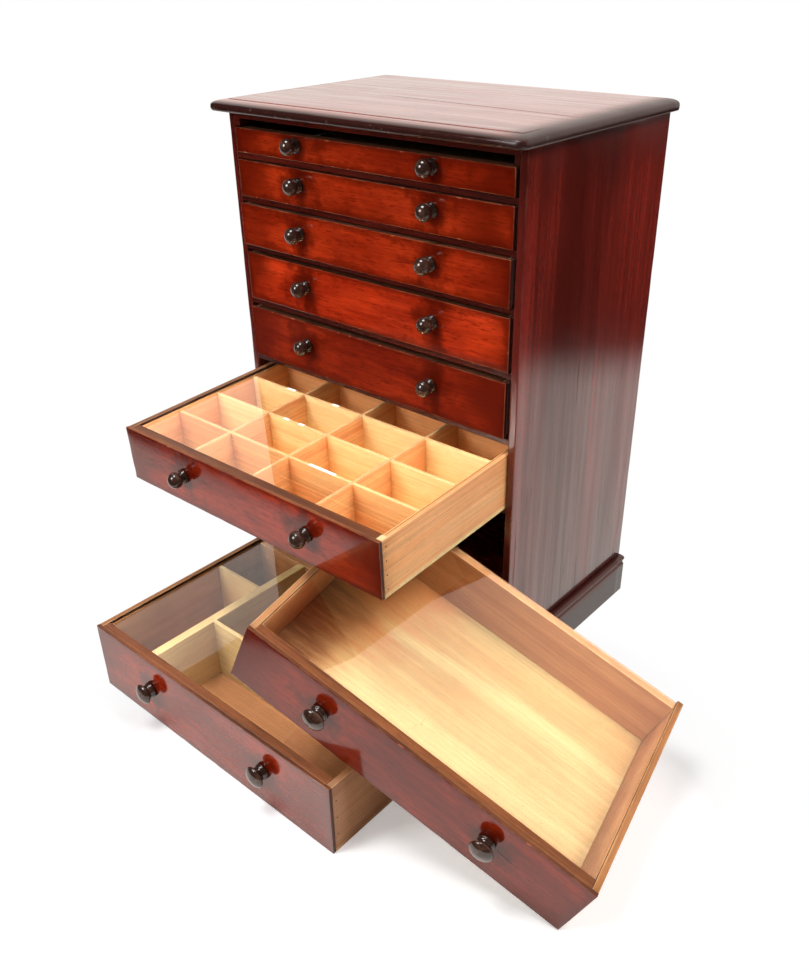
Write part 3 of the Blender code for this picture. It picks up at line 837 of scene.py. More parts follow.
def mix_finishes() -> None:
    """Builds every finish once and keeps it by a short name."""
    front = FrontTimber(
        "polished_mahogany", (0.270, 0.0150, 0.0028), (0.550, 0.0420, 0.0074), (0.34, 0.10, 0.040),
        along=6.0, across=22.0, pore=0.55, streak=0.38, speck=0.5, roughness=0.085, rough_change=0.04,
        wear=0.7, wear_width=0.0011, chip=0.7, grime=0.32, bump=0.06, coat=0.35, coat_roughness=0.04,
        smudge=0.80)
    made = {
        "front": front,
        "front_dull": replace(front, name="dull_mahogany", roughness=0.40, coat=0.0, specular=0.03),
        "front_worn": replace(front, name="worn_mahogany", coat=0.1, specular=0.40),
        "core": Timber(
            "mahogany_core", (0.150, 0.040, 0.012), (0.320, 0.098, 0.027), (0.42, 0.17, 0.06), pore=0.4,
            wear=0.4, grime=0.3, roughness=0.5, scratch=0.3, scratch_colour=(0.06, 0.016, 0.006)),
        # Dark finish that paints shade on faces in gaps and recesses.
        "dark_end": Timber(
            "dark_edge", (0.050, 0.009, 0.006), (0.100, 0.018, 0.011), (0.20, 0.08, 0.05), pore=0.3,
            wear=0.35, grime=0.3, roughness=0.4),
        "carcass": SideTimber(
            "dark_mahogany", (0.082, 0.0084, 0.0056), (0.250, 0.0235, 0.0154), (0.16, 0.042, 0.024),
            along=1.1, across=15.0, pore=0.35, streak=0.40, speck=0.8, roughness=0.16, rough_change=0.05,
            wear=0.5, wear_width=0.0020, grime=0.16, scratch=0.35, scratch_colour=(0.020, 0.004, 0.002),
            bump=0.04, coat=0.85, coat_roughness=0.08),
        "plinth": PlinthTimber(
            "plinth_mahogany", (0.022, 0.0090, 0.0070), (0.050, 0.0170, 0.0120), (0.11, 0.035, 0.022),
            pore=0.4, streak=0.4, roughness=0.34, wear=0.5, wear_width=0.0014, grime=0.2, coat=0.12),
        "top": TopTimber(
            "top_mahogany", (0.220, 0.038, 0.023), (0.340, 0.068, 0.044), (0.30, 0.22, 0.18),
            along=2.0, across=26.0, pore=0.3, streak=0.55, roughness=0.14, rough_change=0.05, wear=0.0,
            wear_width=0.003, chip=0.06, grime=0.12, scratch=0.35, scratch_colour=(0.05, 0.016, 0.012),
            speck=0.6, bump=0.04, coat=0.6),
        "shelf": Timber(
            "shelf_mahogany", (0.052, 0.0054, 0.0029), (0.120, 0.0115, 0.0052), (0.2, 0.08, 0.04), pore=0.5,
            grime=0.3, roughness=0.20, rough_change=0.05, coordinates=Coordinates.WORLD_X),
        "back": Timber(
            "back_board", (0.200, 0.090, 0.040), (0.330, 0.170, 0.080), (0.3, 0.2, 0.1), along=2.0,
            across=40.0, pore=0.3, grime=0.4, roughness=0.6, coordinates=Coordinates.WORLD_Z),
        "box": Timber(
            "aged_pine", (0.66, 0.250, 0.085), (0.86, 0.390, 0.155), (0.88, 0.52, 0.24), along=2.2,
            across=45.0, pore=0.16, streak=0.28, wear=0.5, wear_width=0.0012, grime=0.22, scratch=0.40,
            scratch_colour=(0.30, 0.12, 0.045), speck=0.4, roughness=0.5),
        "box_pale": Timber(
            "fresh_pine", (0.95, 0.390, 0.142), (0.98, 0.505, 0.206), (0.93, 0.62, 0.30), along=2.2,
            across=45.0, pore=0.16, streak=0.30, wear=0.5, wear_width=0.0012, grime=0.22, scratch=0.55,
            scratch_colour=(0.36, 0.13, 0.045), speck=0.5, roughness=0.5),
        "floor": Timber(
            "pale_pine", (0.88, 0.570, 0.235), (0.95, 0.750, 0.355), (0.92, 0.68, 0.34), along=1.8,
            across=34.0, pore=0.16, streak=0.30, wear=0.2, grime=0.10, scratch=0.35,
            scratch_colour=(0.50, 0.23, 0.08), speck=0.4, roughness=0.5),
        # Pine with a stain and a dark corner that are partly painted shadow and shade.
        "floor_stained_shaded": StainedShadedTimber(
            "stained_shaded_pine", (0.80, 0.430, 0.155), (0.93, 0.660, 0.285), (0.92, 0.68, 0.34), along=2.2,
            across=26.0, pore=0.16, streak=0.22, wear=0.2, grime=0.18, scratch=0.45,
            scratch_colour=(0.46, 0.20, 0.07), speck=0.6, roughness=0.5),
        "rim": Timber(
            "brown_rim", (0.270, 0.108, 0.043), (0.470, 0.205, 0.086), (0.48, 0.24, 0.11), pore=0.4,
            wear=0.5, wear_width=0.0010, grime=0.3, roughness=0.5),
        "deal": Timber(
            "deal_strips", (0.92, 0.540, 0.215), (0.96, 0.700, 0.320), (0.92, 0.60, 0.28), along=2.5,
            across=40.0, pore=0.16, streak=0.25, wear=0.4, wear_width=0.0012, grime=0.10, scratch=0.3,
            scratch_colour=(0.42, 0.12, 0.04), roughness=0.55),
        "deal_red": Timber(
            "red_deal_strip", (0.88, 0.335, 0.115), (0.95, 0.500, 0.190), (0.92, 0.58, 0.26), along=2.5,
            across=40.0, pore=0.18, streak=0.35, wear=0.4, wear_width=0.0012, grime=0.10, scratch=0.5,
            scratch_colour=(0.36, 0.09, 0.03), roughness=0.55),
        "deal_pale": Timber(
            "pale_deal_strip", (0.93, 0.610, 0.270), (0.97, 0.740, 0.370), (0.93, 0.66, 0.34), along=2.5,
            across=40.0, pore=0.14, streak=0.20, wear=0.4, wear_width=0.0012, grime=0.10, scratch=0.2,
            scratch_colour=(0.42, 0.16, 0.06), roughness=0.55),
        "deal_edge": Timber(
            "deal_top_edge", (0.56, 0.275, 0.105), (0.66, 0.370, 0.155), (0.72, 0.44, 0.20), along=2.5,
            across=40.0, pore=0.16, streak=0.25, wear=0.4, grime=0.2, roughness=0.6),
        "bare": Timber(
            "bare_wood", (0.86, 0.620, 0.300), (0.94, 0.740, 0.400), (0.94, 0.76, 0.44), pore=0.1,
            grime=0.05, roughness=0.6),
        "paper": Timber(
            "paper_slip", (0.88, 0.86, 0.80), (0.94, 0.92, 0.88), (0.95, 0.94, 0.90), pore=0.0, streak=0.05,
            wear=0.0, grime=0.0, bump=0.02, roughness=0.7),
        # Dark finish of open cracks, also used for a painted groove shadow.
        "crack": Timber(
            "open_crack_and_groove_shadow", (0.020, 0.007, 0.004), (0.050, 0.016, 0.008), (0.05, 0.02, 0.01), wear=0.0,
            grime=0.2, roughness=0.8),
        "seam": Timber(
            "board_seam", (0.55, 0.260, 0.090), (0.68, 0.340, 0.130), (0.6, 0.30, 0.11), wear=0.0,
            grime=0.2, roughness=0.7),
        "knob": Lacquer(),
        "glass": Pane(),
        "iron": Iron(),
    }
    for name, finish in made.items():
        FINISH[name] = finish.material()


def new_object(name: str, data: bpy.types.ID) -> bpy.types.Object:
    """Adds an object to the scene.

    Args:
        name: Name of the object.
        data: Its mesh, lamp or camera.

    Returns:
        The object.
    """
    made = bpy.data.objects.new(name, data)
    bpy.context.scene.collection.objects.link(made)
    return made


def knocks(spot: np.ndarray, coarse: float, fine: float, share: float) -> float:
    """How hard an arris is knocked at a point.

    Args:
        spot: The point.
        coarse: Scale of the large knocks.
        fine: Scale of the small ones.
        share: Weight of the small ones.

    Returns:
        Zero where the arris is whole, and about one at the worst.
    """
    return max(0.0, noise.noise(Vector(spot * coarse)) + share * noise.noise(Vector(spot * fine)))


def marks_between(low: float, high: float, arris: float, step: float) -> np.ndarray:
    """Grid lines along one side of a board: close together at the arrises, even between them.

    Args:
        low: First end.
        high: Last end.
        arris: Radius of the rounded edge.
        step: Widest spacing in the middle.

    Returns:
        The places of the lines, in order.
    """
    span = high - low
    shares = (0.0, 0.25, 0.6, 1.0, *BESIDE)
    near = [share * arris for share in shares if share * arris < 0.45 * span]
    last = near[-1]
    count = max(1, math.ceil((span - 2 * last) / step))
    middle = np.linspace(low + last, high - last, count + 1)
    return np.unique(np.concatenate([low + np.array(near), middle, high - np.array(near)]).round(7))


@dataclass
class Shape:
    """Gathers the boards of one piece in its own frame, with their grain, tone and arrises."""

    seed: float = 0.0
    tone: float = 1.0
    verts: List[np.ndarray] = field(default_factory=list)
    faces: List[Tuple[int, ...]] = field(default_factory=list)
    grain: List[np.ndarray] = field(default_factory=list)
    gap: List[np.ndarray] = field(default_factory=list)
    tones: List[np.ndarray] = field(default_factory=list)
    slots: List[int] = field(default_factory=list)
    count: int = 0

    def add(
        self, verts: np.ndarray, faces: Sequence[Sequence[int]], grain: np.ndarray, gap: np.ndarray,
        slot: int = 0
    ) -> None:
        """Adds one closed surface in the current tone.

        Args:
            verts: Points in the piece's frame.
            faces: Point numbers of each face.
            grain: Grain coordinates of each point.
            gap: Distance of each point from the nearest arris.
            slot: Material slot.
        """
        self.faces += [tuple(int(i) + self.count for i in face) for face in faces]
        self.slots += [slot] * len(faces)
        self.verts.append(verts)
        self.grain.append(grain)
        self.gap.append(gap)
        self.tones.append(np.full(len(verts), self.tone))
        self.count += len(verts)

    def board(
        self, low: Point, high: Point, arris: float, grain: Grain, slot: int = 0, step: float = 0.02,
        wear: float = 0.0
    ) -> None:
        """Adds a board with rounded, slightly worn arrises.

        Args:
            low: Lowest corner.
            high: Highest corner.
            arris: Radius of its edges.
            grain: Axis of its grain.
            slot: Material slot.
            step: Widest spacing of its points.
            wear: Depth to which the arrises are knocked in.
        """
        low_a, high_a = np.array(low), np.array(high)
        arris = min(arris, 0.3 * float((high_a - low_a).min()))
        lines = [marks_between(low_a[k], high_a[k], arris, step) for k in range(3)]
        # A grid on each of the six sides
        points, quads, base = [], [], 0
        for axis in range(3):
            a, b = (axis + 1) % 3, (axis + 2) % 3
            for side in (0, 1):
                grid = np.zeros((len(lines[a]), len(lines[b]), 3))
                grid[..., axis] = (low_a, high_a)[side][axis]
                grid[..., a] = lines[a][:, None]
                grid[..., b] = lines[b][None, :]
                index = np.arange(grid[..., 0].size).reshape(grid.shape[:2]) + base
                ring = [index[:-1, :-1], index[1:, :-1], index[1:, 1:], index[:-1, 1:]]
                quad = np.stack(ring, -1).reshape(-1, 4)
                quads.append(quad if side else quad[:, ::-1])
                points.append(grid.reshape(-1, 3))
                base += index.size
        # One skin, rounded about a smaller box inside it
        merged, where = np.unique(np.concatenate(points).round(7), axis=0, return_inverse=True)
        faces = where.reshape(-1)[np.concatenate(quads)]
        gaps = np.sort(np.minimum(merged - low_a, high_a - merged), axis=1)[:, 1]
        inner = np.clip(merged, low_a + arris, high_a - arris)
        out = merged - inner
        normal = out / np.maximum(np.linalg.norm(out, axis=1, keepdims=True), 1e-9)
        placed = inner + normal * arris
        if wear:
            for i in np.nonzero(gaps < 4 * arris)[0]:
                knock = knocks(placed[i] + self.seed, 55.0, 190.0, 0.5)
                placed[i] -= normal[i] * wear * knock * math.exp(-gaps[i] / (1.6 * arris))
        self.add(placed, faces, self.along(placed, grain), gaps, slot)

    def along(self, points: np.ndarray, grain: Grain) -> np.ndarray:
        """Grain coordinates: the grain's axis first, shifted so that no two boards look alike.

        Args:
            points: Points in the piece's frame.
            grain: Axis of the grain.

        Returns:
            The coordinates.
        """
        k = grain.value
        turned = points[:, (k, (k + 1) % 3, (k + 2) % 3)]
        shift = len(self.verts) + 1 + 7.3 * self.seed
        return turned + np.array([0.37 * shift, 0.113 * shift, 0.071 * shift])

    def sweep(
        self, profile: Sequence[Corner], axis: int, low: float, high: float, grain: Grain, slot: int = 0,
        step: float = 0.02, mitre: Tuple[float, float] = (0.0, 0.0)
    ) -> None:
        """Sweeps a cross-section with rounded corners along one axis.

        Args:
            profile: Corners in the two other axes, in cyclic order after the axis, with a radius each.
            axis: Axis to sweep along.
            low: Start.
            high: End.
            grain: Axis of the grain.
            slot: Material slot.
            step: Widest spacing of the rings.
            mitre: Slant of each end, as length for each unit of the first coordinate.
        """
        outline, gaps = rounded(profile)
        count = max(1, math.ceil((high - low) / step))
        rings = []
        for k in range(count + 1):
            ring = np.zeros((len(outline), 3))
            ring[:, (axis + 1) % 3] = outline[:, 0]
            ring[:, (axis + 2) % 3] = outline[:, 1]
            start = low + mitre[0] * outline[:, 0]
            end = high + mitre[1] * outline[:, 0]
            ring[:, axis] = start + k / count * (end - start)
            rings.append(ring)
        verts = np.concatenate(rings)
        faces = tube_faces(len(rings), len(outline))
        self.add(verts, faces, self.along(verts, grain), np.tile(gaps, count + 1), slot)

    def lathe(self, profile: np.ndarray, centre: Point, sides: int, slot: int = 0) -> None:
        """Turns a profile about the -v axis.

        Args:
            profile: Distances from the base and radii, without the poles.
            centre: Where the axis meets the base.
            sides: Facets around.
            slot: Material slot.
        """
        angle = np.linspace(0, 2 * math.pi, sides, endpoint=False)
        cos, sin = np.cos(angle), np.sin(angle)
        rings = [np.stack([r * cos, np.full(sides, -out), r * sin], 1) for out, r in profile]
        ends = np.array([[0.0, -profile[0][0], 0.0], [0.0, -profile[-1][0], 0.0]])
        verts = np.concatenate(rings + [ends])
        total = len(profile) * sides
        faces = tube_faces(len(profile), sides)[:-2]
        for i in range(sides):
            j = (i + 1) % sides
            faces.append((total, j, i))
            faces.append((total + 1, total - sides + i, total - sides + j))
        placed = verts + np.array(centre)
        self.add(placed, faces, self.along(placed, Grain.DEPTH), np.full(len(verts), 1.0), slot)

    def paint(self, slot: int, chosen: Callable[[np.ndarray], bool], first: int = 0) -> None:
        """Gives the faces whose middle is chosen another material slot.

        Args:
            slot: The slot.
            chosen: Test of a face's middle.
            first: Number of the first face that is looked at.
        """
        points = np.concatenate(self.verts)
        for k in range(first, len(self.faces)):
            if chosen(points[list(self.faces[k])].mean(0)):
                self.slots[k] = slot

    def build(
        self, name: str, place: Matrix, finishes: Sequence[str], body: str, nodes: Sequence[str] = (),
        slot: str = "", origin: Point = (0.0, 0.0, 0.0)
    ) -> bpy.types.Object:
        """Makes the piece an object that rides on its body.

        Args:
            name: Name of the piece.
            place: Matrix from the piece's frame to the part's frame.
            finishes: Short names of its finishes, by slot.
            body: CAD body that carries it.
            nodes: CAD nodes that it stands for.
            slot: Not used.
            origin: Point that the place attribute is measured from.

        Returns:
            The object.
        """
        verts = np.concatenate(self.verts)
        world = verts @ np.array(place.to_3x3()).T + np.array(place.translation)
        mesh = bpy.data.meshes.new(name)
        mesh.from_pydata(world.tolist(), [], self.faces)
        layers = {
            "grain": np.concatenate(self.grain),
            "place": verts - np.array(origin),
            "edge_gap": np.concatenate(self.gap),
            "tone": np.concatenate(self.tones),
        }
        for label, values in layers.items():
            flat = values.ndim == 1
            layer = mesh.attributes.new(label, "FLOAT" if flat else "FLOAT_VECTOR", "POINT")
            layer.data.foreach_set("value" if flat else "vector", values.astype(np.float32).ravel())
        for finish in finishes:
            mesh.materials.append(FINISH[finish])
        mesh.polygons.foreach_set("material_index", self.slots)
        mesh.polygons.foreach_set("use_smooth", [len(face) < 5 for face in self.faces])
        mesh.update()
        return mount(new_object(name, mesh), body, nodes)


def tube_faces(rings: int, around: int) -> List[Tuple[int, ...]]:
    """Faces of a closed tube of rings, with its two end caps last.

    Args:
        rings: Number of rings.
        around: Points in each ring.

    Returns:
        The faces.
    """
    faces: List[Tuple[int, ...]] = []
    for k in range(rings - 1):
        for i in range(around):
            j = (i + 1) % around
            near, far = k * around, (k + 1) * around
            faces.append((near + i, near + j, far + j, far + i))
    faces.append(tuple(range(around))[::-1])
    faces.append(tuple(range((rings - 1) * around, rings * around)))
    return faces


def mount(
    piece: bpy.types.Object, body: str, nodes: Sequence[str] = ()
) -> bpy.types.Object:
    """Hands a finished piece to the frame and reports it.

    Args:
        piece: The finished object, at the origin.
        body: CAD body that carries it.
        nodes: CAD nodes that it stands for.

    Returns:
        The same object.
    """
    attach(piece, body)
    if nodes:
        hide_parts(*nodes)
    LOG.info("%s rides on %s, %d faces", piece.name, body, len(piece.data.polygons))
    return piece


def rounded(profile: Sequence[Corner]) -> Tuple[np.ndarray, np.ndarray]:
    """Rounds the corners of a closed outline and measures each point from the nearest round.

    Args:
        profile: Corners with a radius each; a radius of zero stays sharp.

    Returns:
        The points of the outline, and their distance from the nearest rounded corner.
    """
    corners = np.array([(a, b) for a, b, _ in profile])
    points: List[np.ndarray] = []
    gaps: List[float] = []
    total = len(profile)
    for i, (_, _, radius) in enumerate(profile):
        here = corners[i]
        before = corners[i - 1] - here
        after = corners[(i + 1) % total] - here
        if radius <= 0:
            points.append(here)
            gaps.append(SHARP_GAP)
            continue
        before_len, after_len = np.linalg.norm(before), np.linalg.norm(after)
        before, after = before / before_len, after / after_len
        cut = min(radius, 0.4 * before_len, 0.4 * after_len)
        for reach in BESIDE[::-1]:
            if reach * cut < 0.45 * before_len:
                points.append(here + before * reach * cut)
                gaps.append(reach * cut)
        for share in (0.0, 0.25, 0.5, 0.75, 1.0):
            a, b = here + before * cut, here + after * cut
            middle = (1 - share) ** 2 * a + 2 * share * (1 - share) * here + share ** 2 * b
            points.append(middle)
            gaps.append(abs(share - 0.5) * cut)
        for reach in BESIDE:
            if reach * cut < 0.45 * after_len:
                points.append(here + after * reach * cut)
                gaps.append(reach * cut)
    return np.array(points), np.array(gaps)


def smooth_curve(points: Sequence[Tuple[float, float]], parts: int) -> np.ndarray:
    """Catmull-Rom curve through points, for a turned profile.

    Args:
        points: Points to pass through.
        parts: Steps between two points.

    Returns:
        The points of the curve.
    """
    p = np.array([points[0], *points, points[-1]])
    steps = []
    for k in range(1, len(p) - 2):
        for t in np.linspace(0, 1, parts, endpoint=False):
            a = 2 * p[k]
            b = (p[k + 1] - p[k - 1]) * t
            c = (2 * p[k - 1] - 5 * p[k] + 4 * p[k + 1] - p[k + 2]) * t * t
            d = (3 * p[k] - p[k - 1] - 3 * p[k + 1] + p[k + 2]) * t ** 3
            steps.append((a + b + c + d) / 2)
    return np.array(steps + [p[-2]])


# Collar of a knob: shares of its length and of its radius, with the groove in the middle.
COLLAR = (
    (0.0, 0.94), (0.2, 1.0), (0.42, 1.0), (0.52, 0.955), (0.62, 0.985), (0.8, 0.96), (1.0, 0.89))


@dataclass(frozen=True)
class Knob:
    """Sizes of a turned knob: a collar with a fine groove, a neck and a head."""

    collar_r: float
    collar_l: float
    neck_r: float
    neck_l: float
    head_r: float
    head_l: float
    stations: Tuple[Tuple[float, float], ...]

    def profile(self) -> List[Tuple[float, float]]:
        """Turned outline of the knob.

        Returns:
            Distances from the base and radii.
        """
        points = [(share * self.collar_l, size * self.collar_r) for share, size in COLLAR]
        points.append((self.collar_l + 0.5 * self.neck_l, self.neck_r))
        base = self.collar_l + self.neck_l
        return points + [(base + share * self.head_l, size * self.head_r) for share, size in self.stations]


ROUND_KNOB = Knob(
    0.0085, 0.0040, 0.0058, 0.0026, 0.0095, 0.0140,
    ((0.0, 0.66), (0.10, 0.84), (0.25, 0.965), (0.42, 1.0), (0.58, 0.96), (0.74, 0.83), (0.87, 0.62),
     (0.96, 0.36), (1.0, 0.12)))
FLAT_KNOB = Knob(
    0.0095, 0.0048, 0.0080, 0.0036, 0.0125, 0.0088,
    ((0.0, 0.74), (0.14, 0.90), (0.26, 0.985), (0.36, 1.0), (0.48, 0.97), (0.64, 0.85), (0.80, 0.64),
     (0.92, 0.38), (1.0, 0.12)))


@dataclass
class Drawer:
    """One drawer: front, box, pane, knobs, nails and what stands inside it."""

    number: int
    height: float
    place: Matrix
    tone: float = 1.0
    core_tone: float = 0.5
    box_tone: float = 1.0
    floor_tone: float = 1.0
    # How far behind the front a closed drawer's box is painted dark as shade; open drawers have none.
    stain_and_shade: float = 0.0
    face: str = "front"
    box: str = "box"
    floor: str = "floor"
    left_rim: str = "rim"
    right_rim: str = "rim"
    knob: Knob = ROUND_KNOB
    nails: Tuple[int, float, float] = (2, 0.010, 0.02)
    half: float = 0.19835
    inner: float = 0.19135
    depth: float = 0.262
    front_t: float = 0.014
    lip: float = 0.004
    back_t: float = 0.009
    bottom_t: float = 0.004
    rim_drop: float = 0.0005
    groove: float = 0.0025
    groove_drop: float = 0.0034
    groove_h: float = 0.0026
    knob_lift: float = 0.003
    nail_v: float = 0.0088
    fit: float = 0.0003

    @property
    def stem(self) -> str:
        """Name of the drawer's body."""
        return f"drawer_{self.number}"

    @property
    def rim(self) -> float:
        """Height of the box's rim."""
        return self.height - self.rim_drop

    @property
    def groove_top(self) -> float:
        """Top of the pane's groove."""
        return self.rim - self.groove_drop

    @property
    def groove_low(self) -> float:
        """Underside of the pane's groove."""
        return self.groove_top - self.groove_h

    @property
    def knob_rise(self) -> float:
        """Height of the knobs' axis."""
        return min(self.height / 2 + self.knob_lift, self.height - ROUND_KNOB.head_r)

    def room(self) -> Tuple[Point, Point]:
        """Room in the box under the pane, less the fit.

        Returns:
            Its lowest and its highest corner.
        """
        edge = self.inner - self.fit
        low = (-edge, self.front_t + self.fit, self.bottom_t + self.fit)
        return low, (edge, self.depth - self.back_t - self.fit, self.groove_low - self.fit)

    def build_front(self) -> None:
        """Polished face on a plainer core, rebated for the sides and the bottom."""
        shape = Shape(float(self.number), self.tone)
        skin = 0.0004
        low, high = (-self.half, 0.0, 0.0), (self.half, self.lip, self.height)
        shape.board(low, high, 0.0006, Grain.ACROSS, FaceSlot.POLISHED, step=0.008, wear=0.0007)
        shape.tone = self.core_tone
        # The front's ends are painted with the dark finish, as painted shade in the gaps beside the stiles.
        shape.paint(FaceSlot.END, lambda m: abs(m[0]) > self.half - skin and m[1] > skin)
        # A closed drawer's front also gets its top face painted dark, as painted shade in the slot above it.
        top_slot = FaceSlot.END if self.stain_and_shade else FaceSlot.CORE
        shape.paint(top_slot, lambda m: m[2] > self.height - skin and m[1] > 0.0007)
        low = (-self.inner + self.fit, self.lip - skin, self.bottom_t + self.fit)
        high = (self.inner - self.fit, self.front_t, self.height - 0.0001)
        shape.board(low, high, 0.0007, Grain.ACROSS, FaceSlot.CORE)
        finishes = (self.face, "core", "dark_end")
        origin = (0.0, 0.0, self.knob_rise)
        nodes = [f"{self.stem}_front"]
        shape.build(f"{self.stem}_face", self.place, finishes, self.stem, nodes, "mahogany", origin)

    def build_box(self) -> None:
        """Sides grooved for the pane, a lower back and the bottom board, with painted shade on the lip above
        the pane and, in closed drawers, on what shows in the slot.
        """
        shape = Shape(float(self.number), self.box_tone)
        shelf = self.inner + self.groove
        for hand, slot in ((1, BoxSlot.RIGHT_RIM), (-1, BoxSlot.LEFT_RIM)):
            first = len(shape.faces)
            corners = [
                (self.inner, self.bottom_t, 0.0), (self.half, self.bottom_t, 0.0004),
                (self.half, self.rim, 0.0010), (self.inner, self.rim, 0.0009),
                (self.inner, self.groove_top, 0.0003), (shelf, self.groove_top, 0.0),
                (shelf, self.groove_low, 0.0), (self.inner, self.groove_low, 0.0003),
            ]
            turned = [(w, hand * u, r) for u, w, r in corners]
            ring = turned if hand < 0 else turned[::-1]
            shape.sweep(ring, 1, self.lip + self.fit, self.depth, Grain.DEPTH, BoxSlot.WALL)
            shape.paint(slot, lambda m: m[2] > self.groove_top - 0.0002, first)
            # The lip's inner face above the pane is painted dark, as painted shade in the gap between the lip
            # and the glass.
            shape.paint(
                BoxSlot.DARK, lambda m: abs(m[0]) < self.inner + 0.0003 and m[2] > self.groove_top, first)
        low = (-self.inner, self.depth - self.back_t, self.bottom_t)
        high = (self.inner, self.depth, self.groove_low)
        shape.board(low, high, 0.0005, Grain.ACROSS, BoxSlot.WALL)
        shape.tone = self.floor_tone
        low = (-self.half, self.lip + self.fit, 0.0)
        high = (self.half, self.depth, self.bottom_t)
        shape.board(low, high, 0.0004, Grain.ACROSS, BoxSlot.FLOOR)
        # In a closed drawer, the outer parts of the sides and the ends of the floor near the front are
        # painted dark, as painted shade in its slot.
        shape.paint(BoxSlot.DARK, lambda m: abs(m[0]) > shelf and m[1] < self.stain_and_shade)
        finishes = (self.box, self.floor, self.left_rim, self.right_rim, "dark_end")
        shape.build(f"{self.stem}_box", self.place, finishes, self.stem, [f"{self.stem}_tray"], "pine")

    def build_knobs(self) -> None:
        """Turned knobs on the front."""
        profile = smooth_curve(self.knob.profile(), 4)
        for name, hand in HANDS:
            shape = Shape(self.number + 0.5 * hand)
            shape.lathe(profile, (hand * KNOB_U, -self.fit, self.knob_rise), 40)
            node = f"{self.stem}_knob_{name}"
            shape.build(f"{node}_turned", self.place, ("knob",), self.stem, [node], "ebonised_wood")

    def build_inside(self) -> None:
        """What stands in the box; most drawers are empty."""

    def build_marks(self) -> None:
        """Slips, cracks and chips of this drawer; most have none."""

    def dress_pane(self) -> None:
        """Old glass on the pane's own solid."""
        dress(f"{self.stem}_glass", "glass")

    def build(self, rows: "NailRows") -> None:
        """Builds every piece of the drawer.

        Args:
            rows: What drives its nails.
        """
        self.build_front()
        self.build_box()
        self.build_knobs()
        self.build_inside()
        self.build_marks()
        rows.drive(self)
        self.dress_pane()


def spread(low: float, high: float, thick: float, count: int) -> List[float]:
    """Near faces of strips that divide a length evenly.

    Args:
        low: Start of the length.
        high: End of the length.
        thick: Thickness of a strip.
        count: Number of strips.

    Returns:
        The places of the faces, in order.
    """
    gap = (high - low - count * thick) / (count + 1)
    return [low + (k + 1) * gap + k * thick for k in range(count)]


@dataclass
class CrateDrawer(Drawer):
    """Drawer with an egg crate of crossing strips."""

    strip: float = 0.004
    tones: Tuple[float, ...] = (0.80, 0.86, 0.82, 0.95, 1.02, 1.00)
    slips: Tuple[Tuple[float, float, float], ...] = (
        (-0.128, -0.113, 0.1925), (-0.049, -0.038, 0.1925), (-0.071, -0.062, 0.1320),
        (-0.045, -0.037, 0.1320), (0.033, 0.072, 0.0714))

    def build_inside(self) -> None:
        """Three strips each way, halved into each other."""
        (left, near, low), (right, back, high) = self.room()
        shape = Shape(60.0)
        tones = iter(self.tones)
        for u in spread(left, right, self.strip, 3):
            shape.tone = next(tones)
            top = (u + self.strip, back, high)
            shape.board((u, near, low), top, 0.0006, Grain.DEPTH, StripSlot.RED, wear=0.0004)
        slots = (StripSlot.RED, StripSlot.PLAIN, StripSlot.PALE)
        for slot, v in zip(slots, spread(near, back, self.strip, 3)):
            shape.tone = next(tones)
            top = (right, v + self.strip, high - CROSS_DROP)
            shape.board((left, v, low), top, 0.0006, Grain.ACROSS, slot, wear=0.0004)
        shape.paint(StripSlot.EDGE, lambda m: m[2] > high - 0.0005)
        finishes = ("deal", "deal_red", "deal_pale", "deal_edge")
        shape.build("drawer_6_strips", self.place, finishes, self.stem, ["drawer_6_crate"], "deal")

    def build_marks(self) -> None:
        """Slips of paper, the broken corner at the right of the front, and a dark line along the right rim
        that is painted shadow of the pane's groove.
        """
        high = self.groove_low - self.fit - 0.0001
        slips = Shape(61.0)
        for left, right, v in self.slips:
            top = (right, v + 0.0034, high + 0.0003)
            slips.board((left, v - 0.0004, high), top, 0.0001, Grain.ACROSS)
        slips.build("drawer_6_slips", self.place, ("paper",), self.stem)
        chip = Shape(62.0)
        low = (self.inner - 0.0012, self.lip + 0.0002, self.rim - 0.0030)
        top = (self.half - 0.0012, self.lip + 0.0090, self.rim + 0.0004)
        chip.board(low, top, 0.0008, Grain.DEPTH, wear=0.0008)
        chip.build("drawer_6_broken_corner", self.place, ("bare",), self.stem)
        # A dark strip along the right rim: painted shadow of the groove between the rim and the pane.
        line = Shape(63.0)
        low = (self.inner + 0.0020, self.lip + 0.0100, self.rim - 0.0004)
        top = (self.inner + 0.0027, self.depth - 0.0015, self.rim + 0.00012)
        line.board(low, top, 0.0001, Grain.DEPTH)
        line.build("drawer_6_rim_shadow_line", self.place, ("crack",), self.stem)


@dataclass
class RibDrawer(Drawer):
    """Drawer with a thick rib from front to back and a bar on either side of it."""

    rib: float = -0.11285
    rib_t: float = 0.0115
    left_bar: float = 0.180
    right_bar: float = 0.100
    bar_t: float = 0.005

    def build_inside(self) -> None:
        """The rib and its two bars."""
        (left, near, low), (right, back, high) = self.room()
        far = self.rib + self.rib_t
        shape = Shape(80.0, 0.70)
        shape.board((self.rib, near, low), (far, back, high), 0.0008, Grain.DEPTH)
        for start, end, v in ((left, self.rib, self.left_bar), (far, right, self.right_bar)):
            shape.board((start, v, low), (end, v + self.bar_t, high - CROSS_DROP), 0.0006, Grain.ACROSS)
        shape.build("drawer_8_ribs", self.place, ("deal",), self.stem, ["drawer_8_dividers"], "deal")


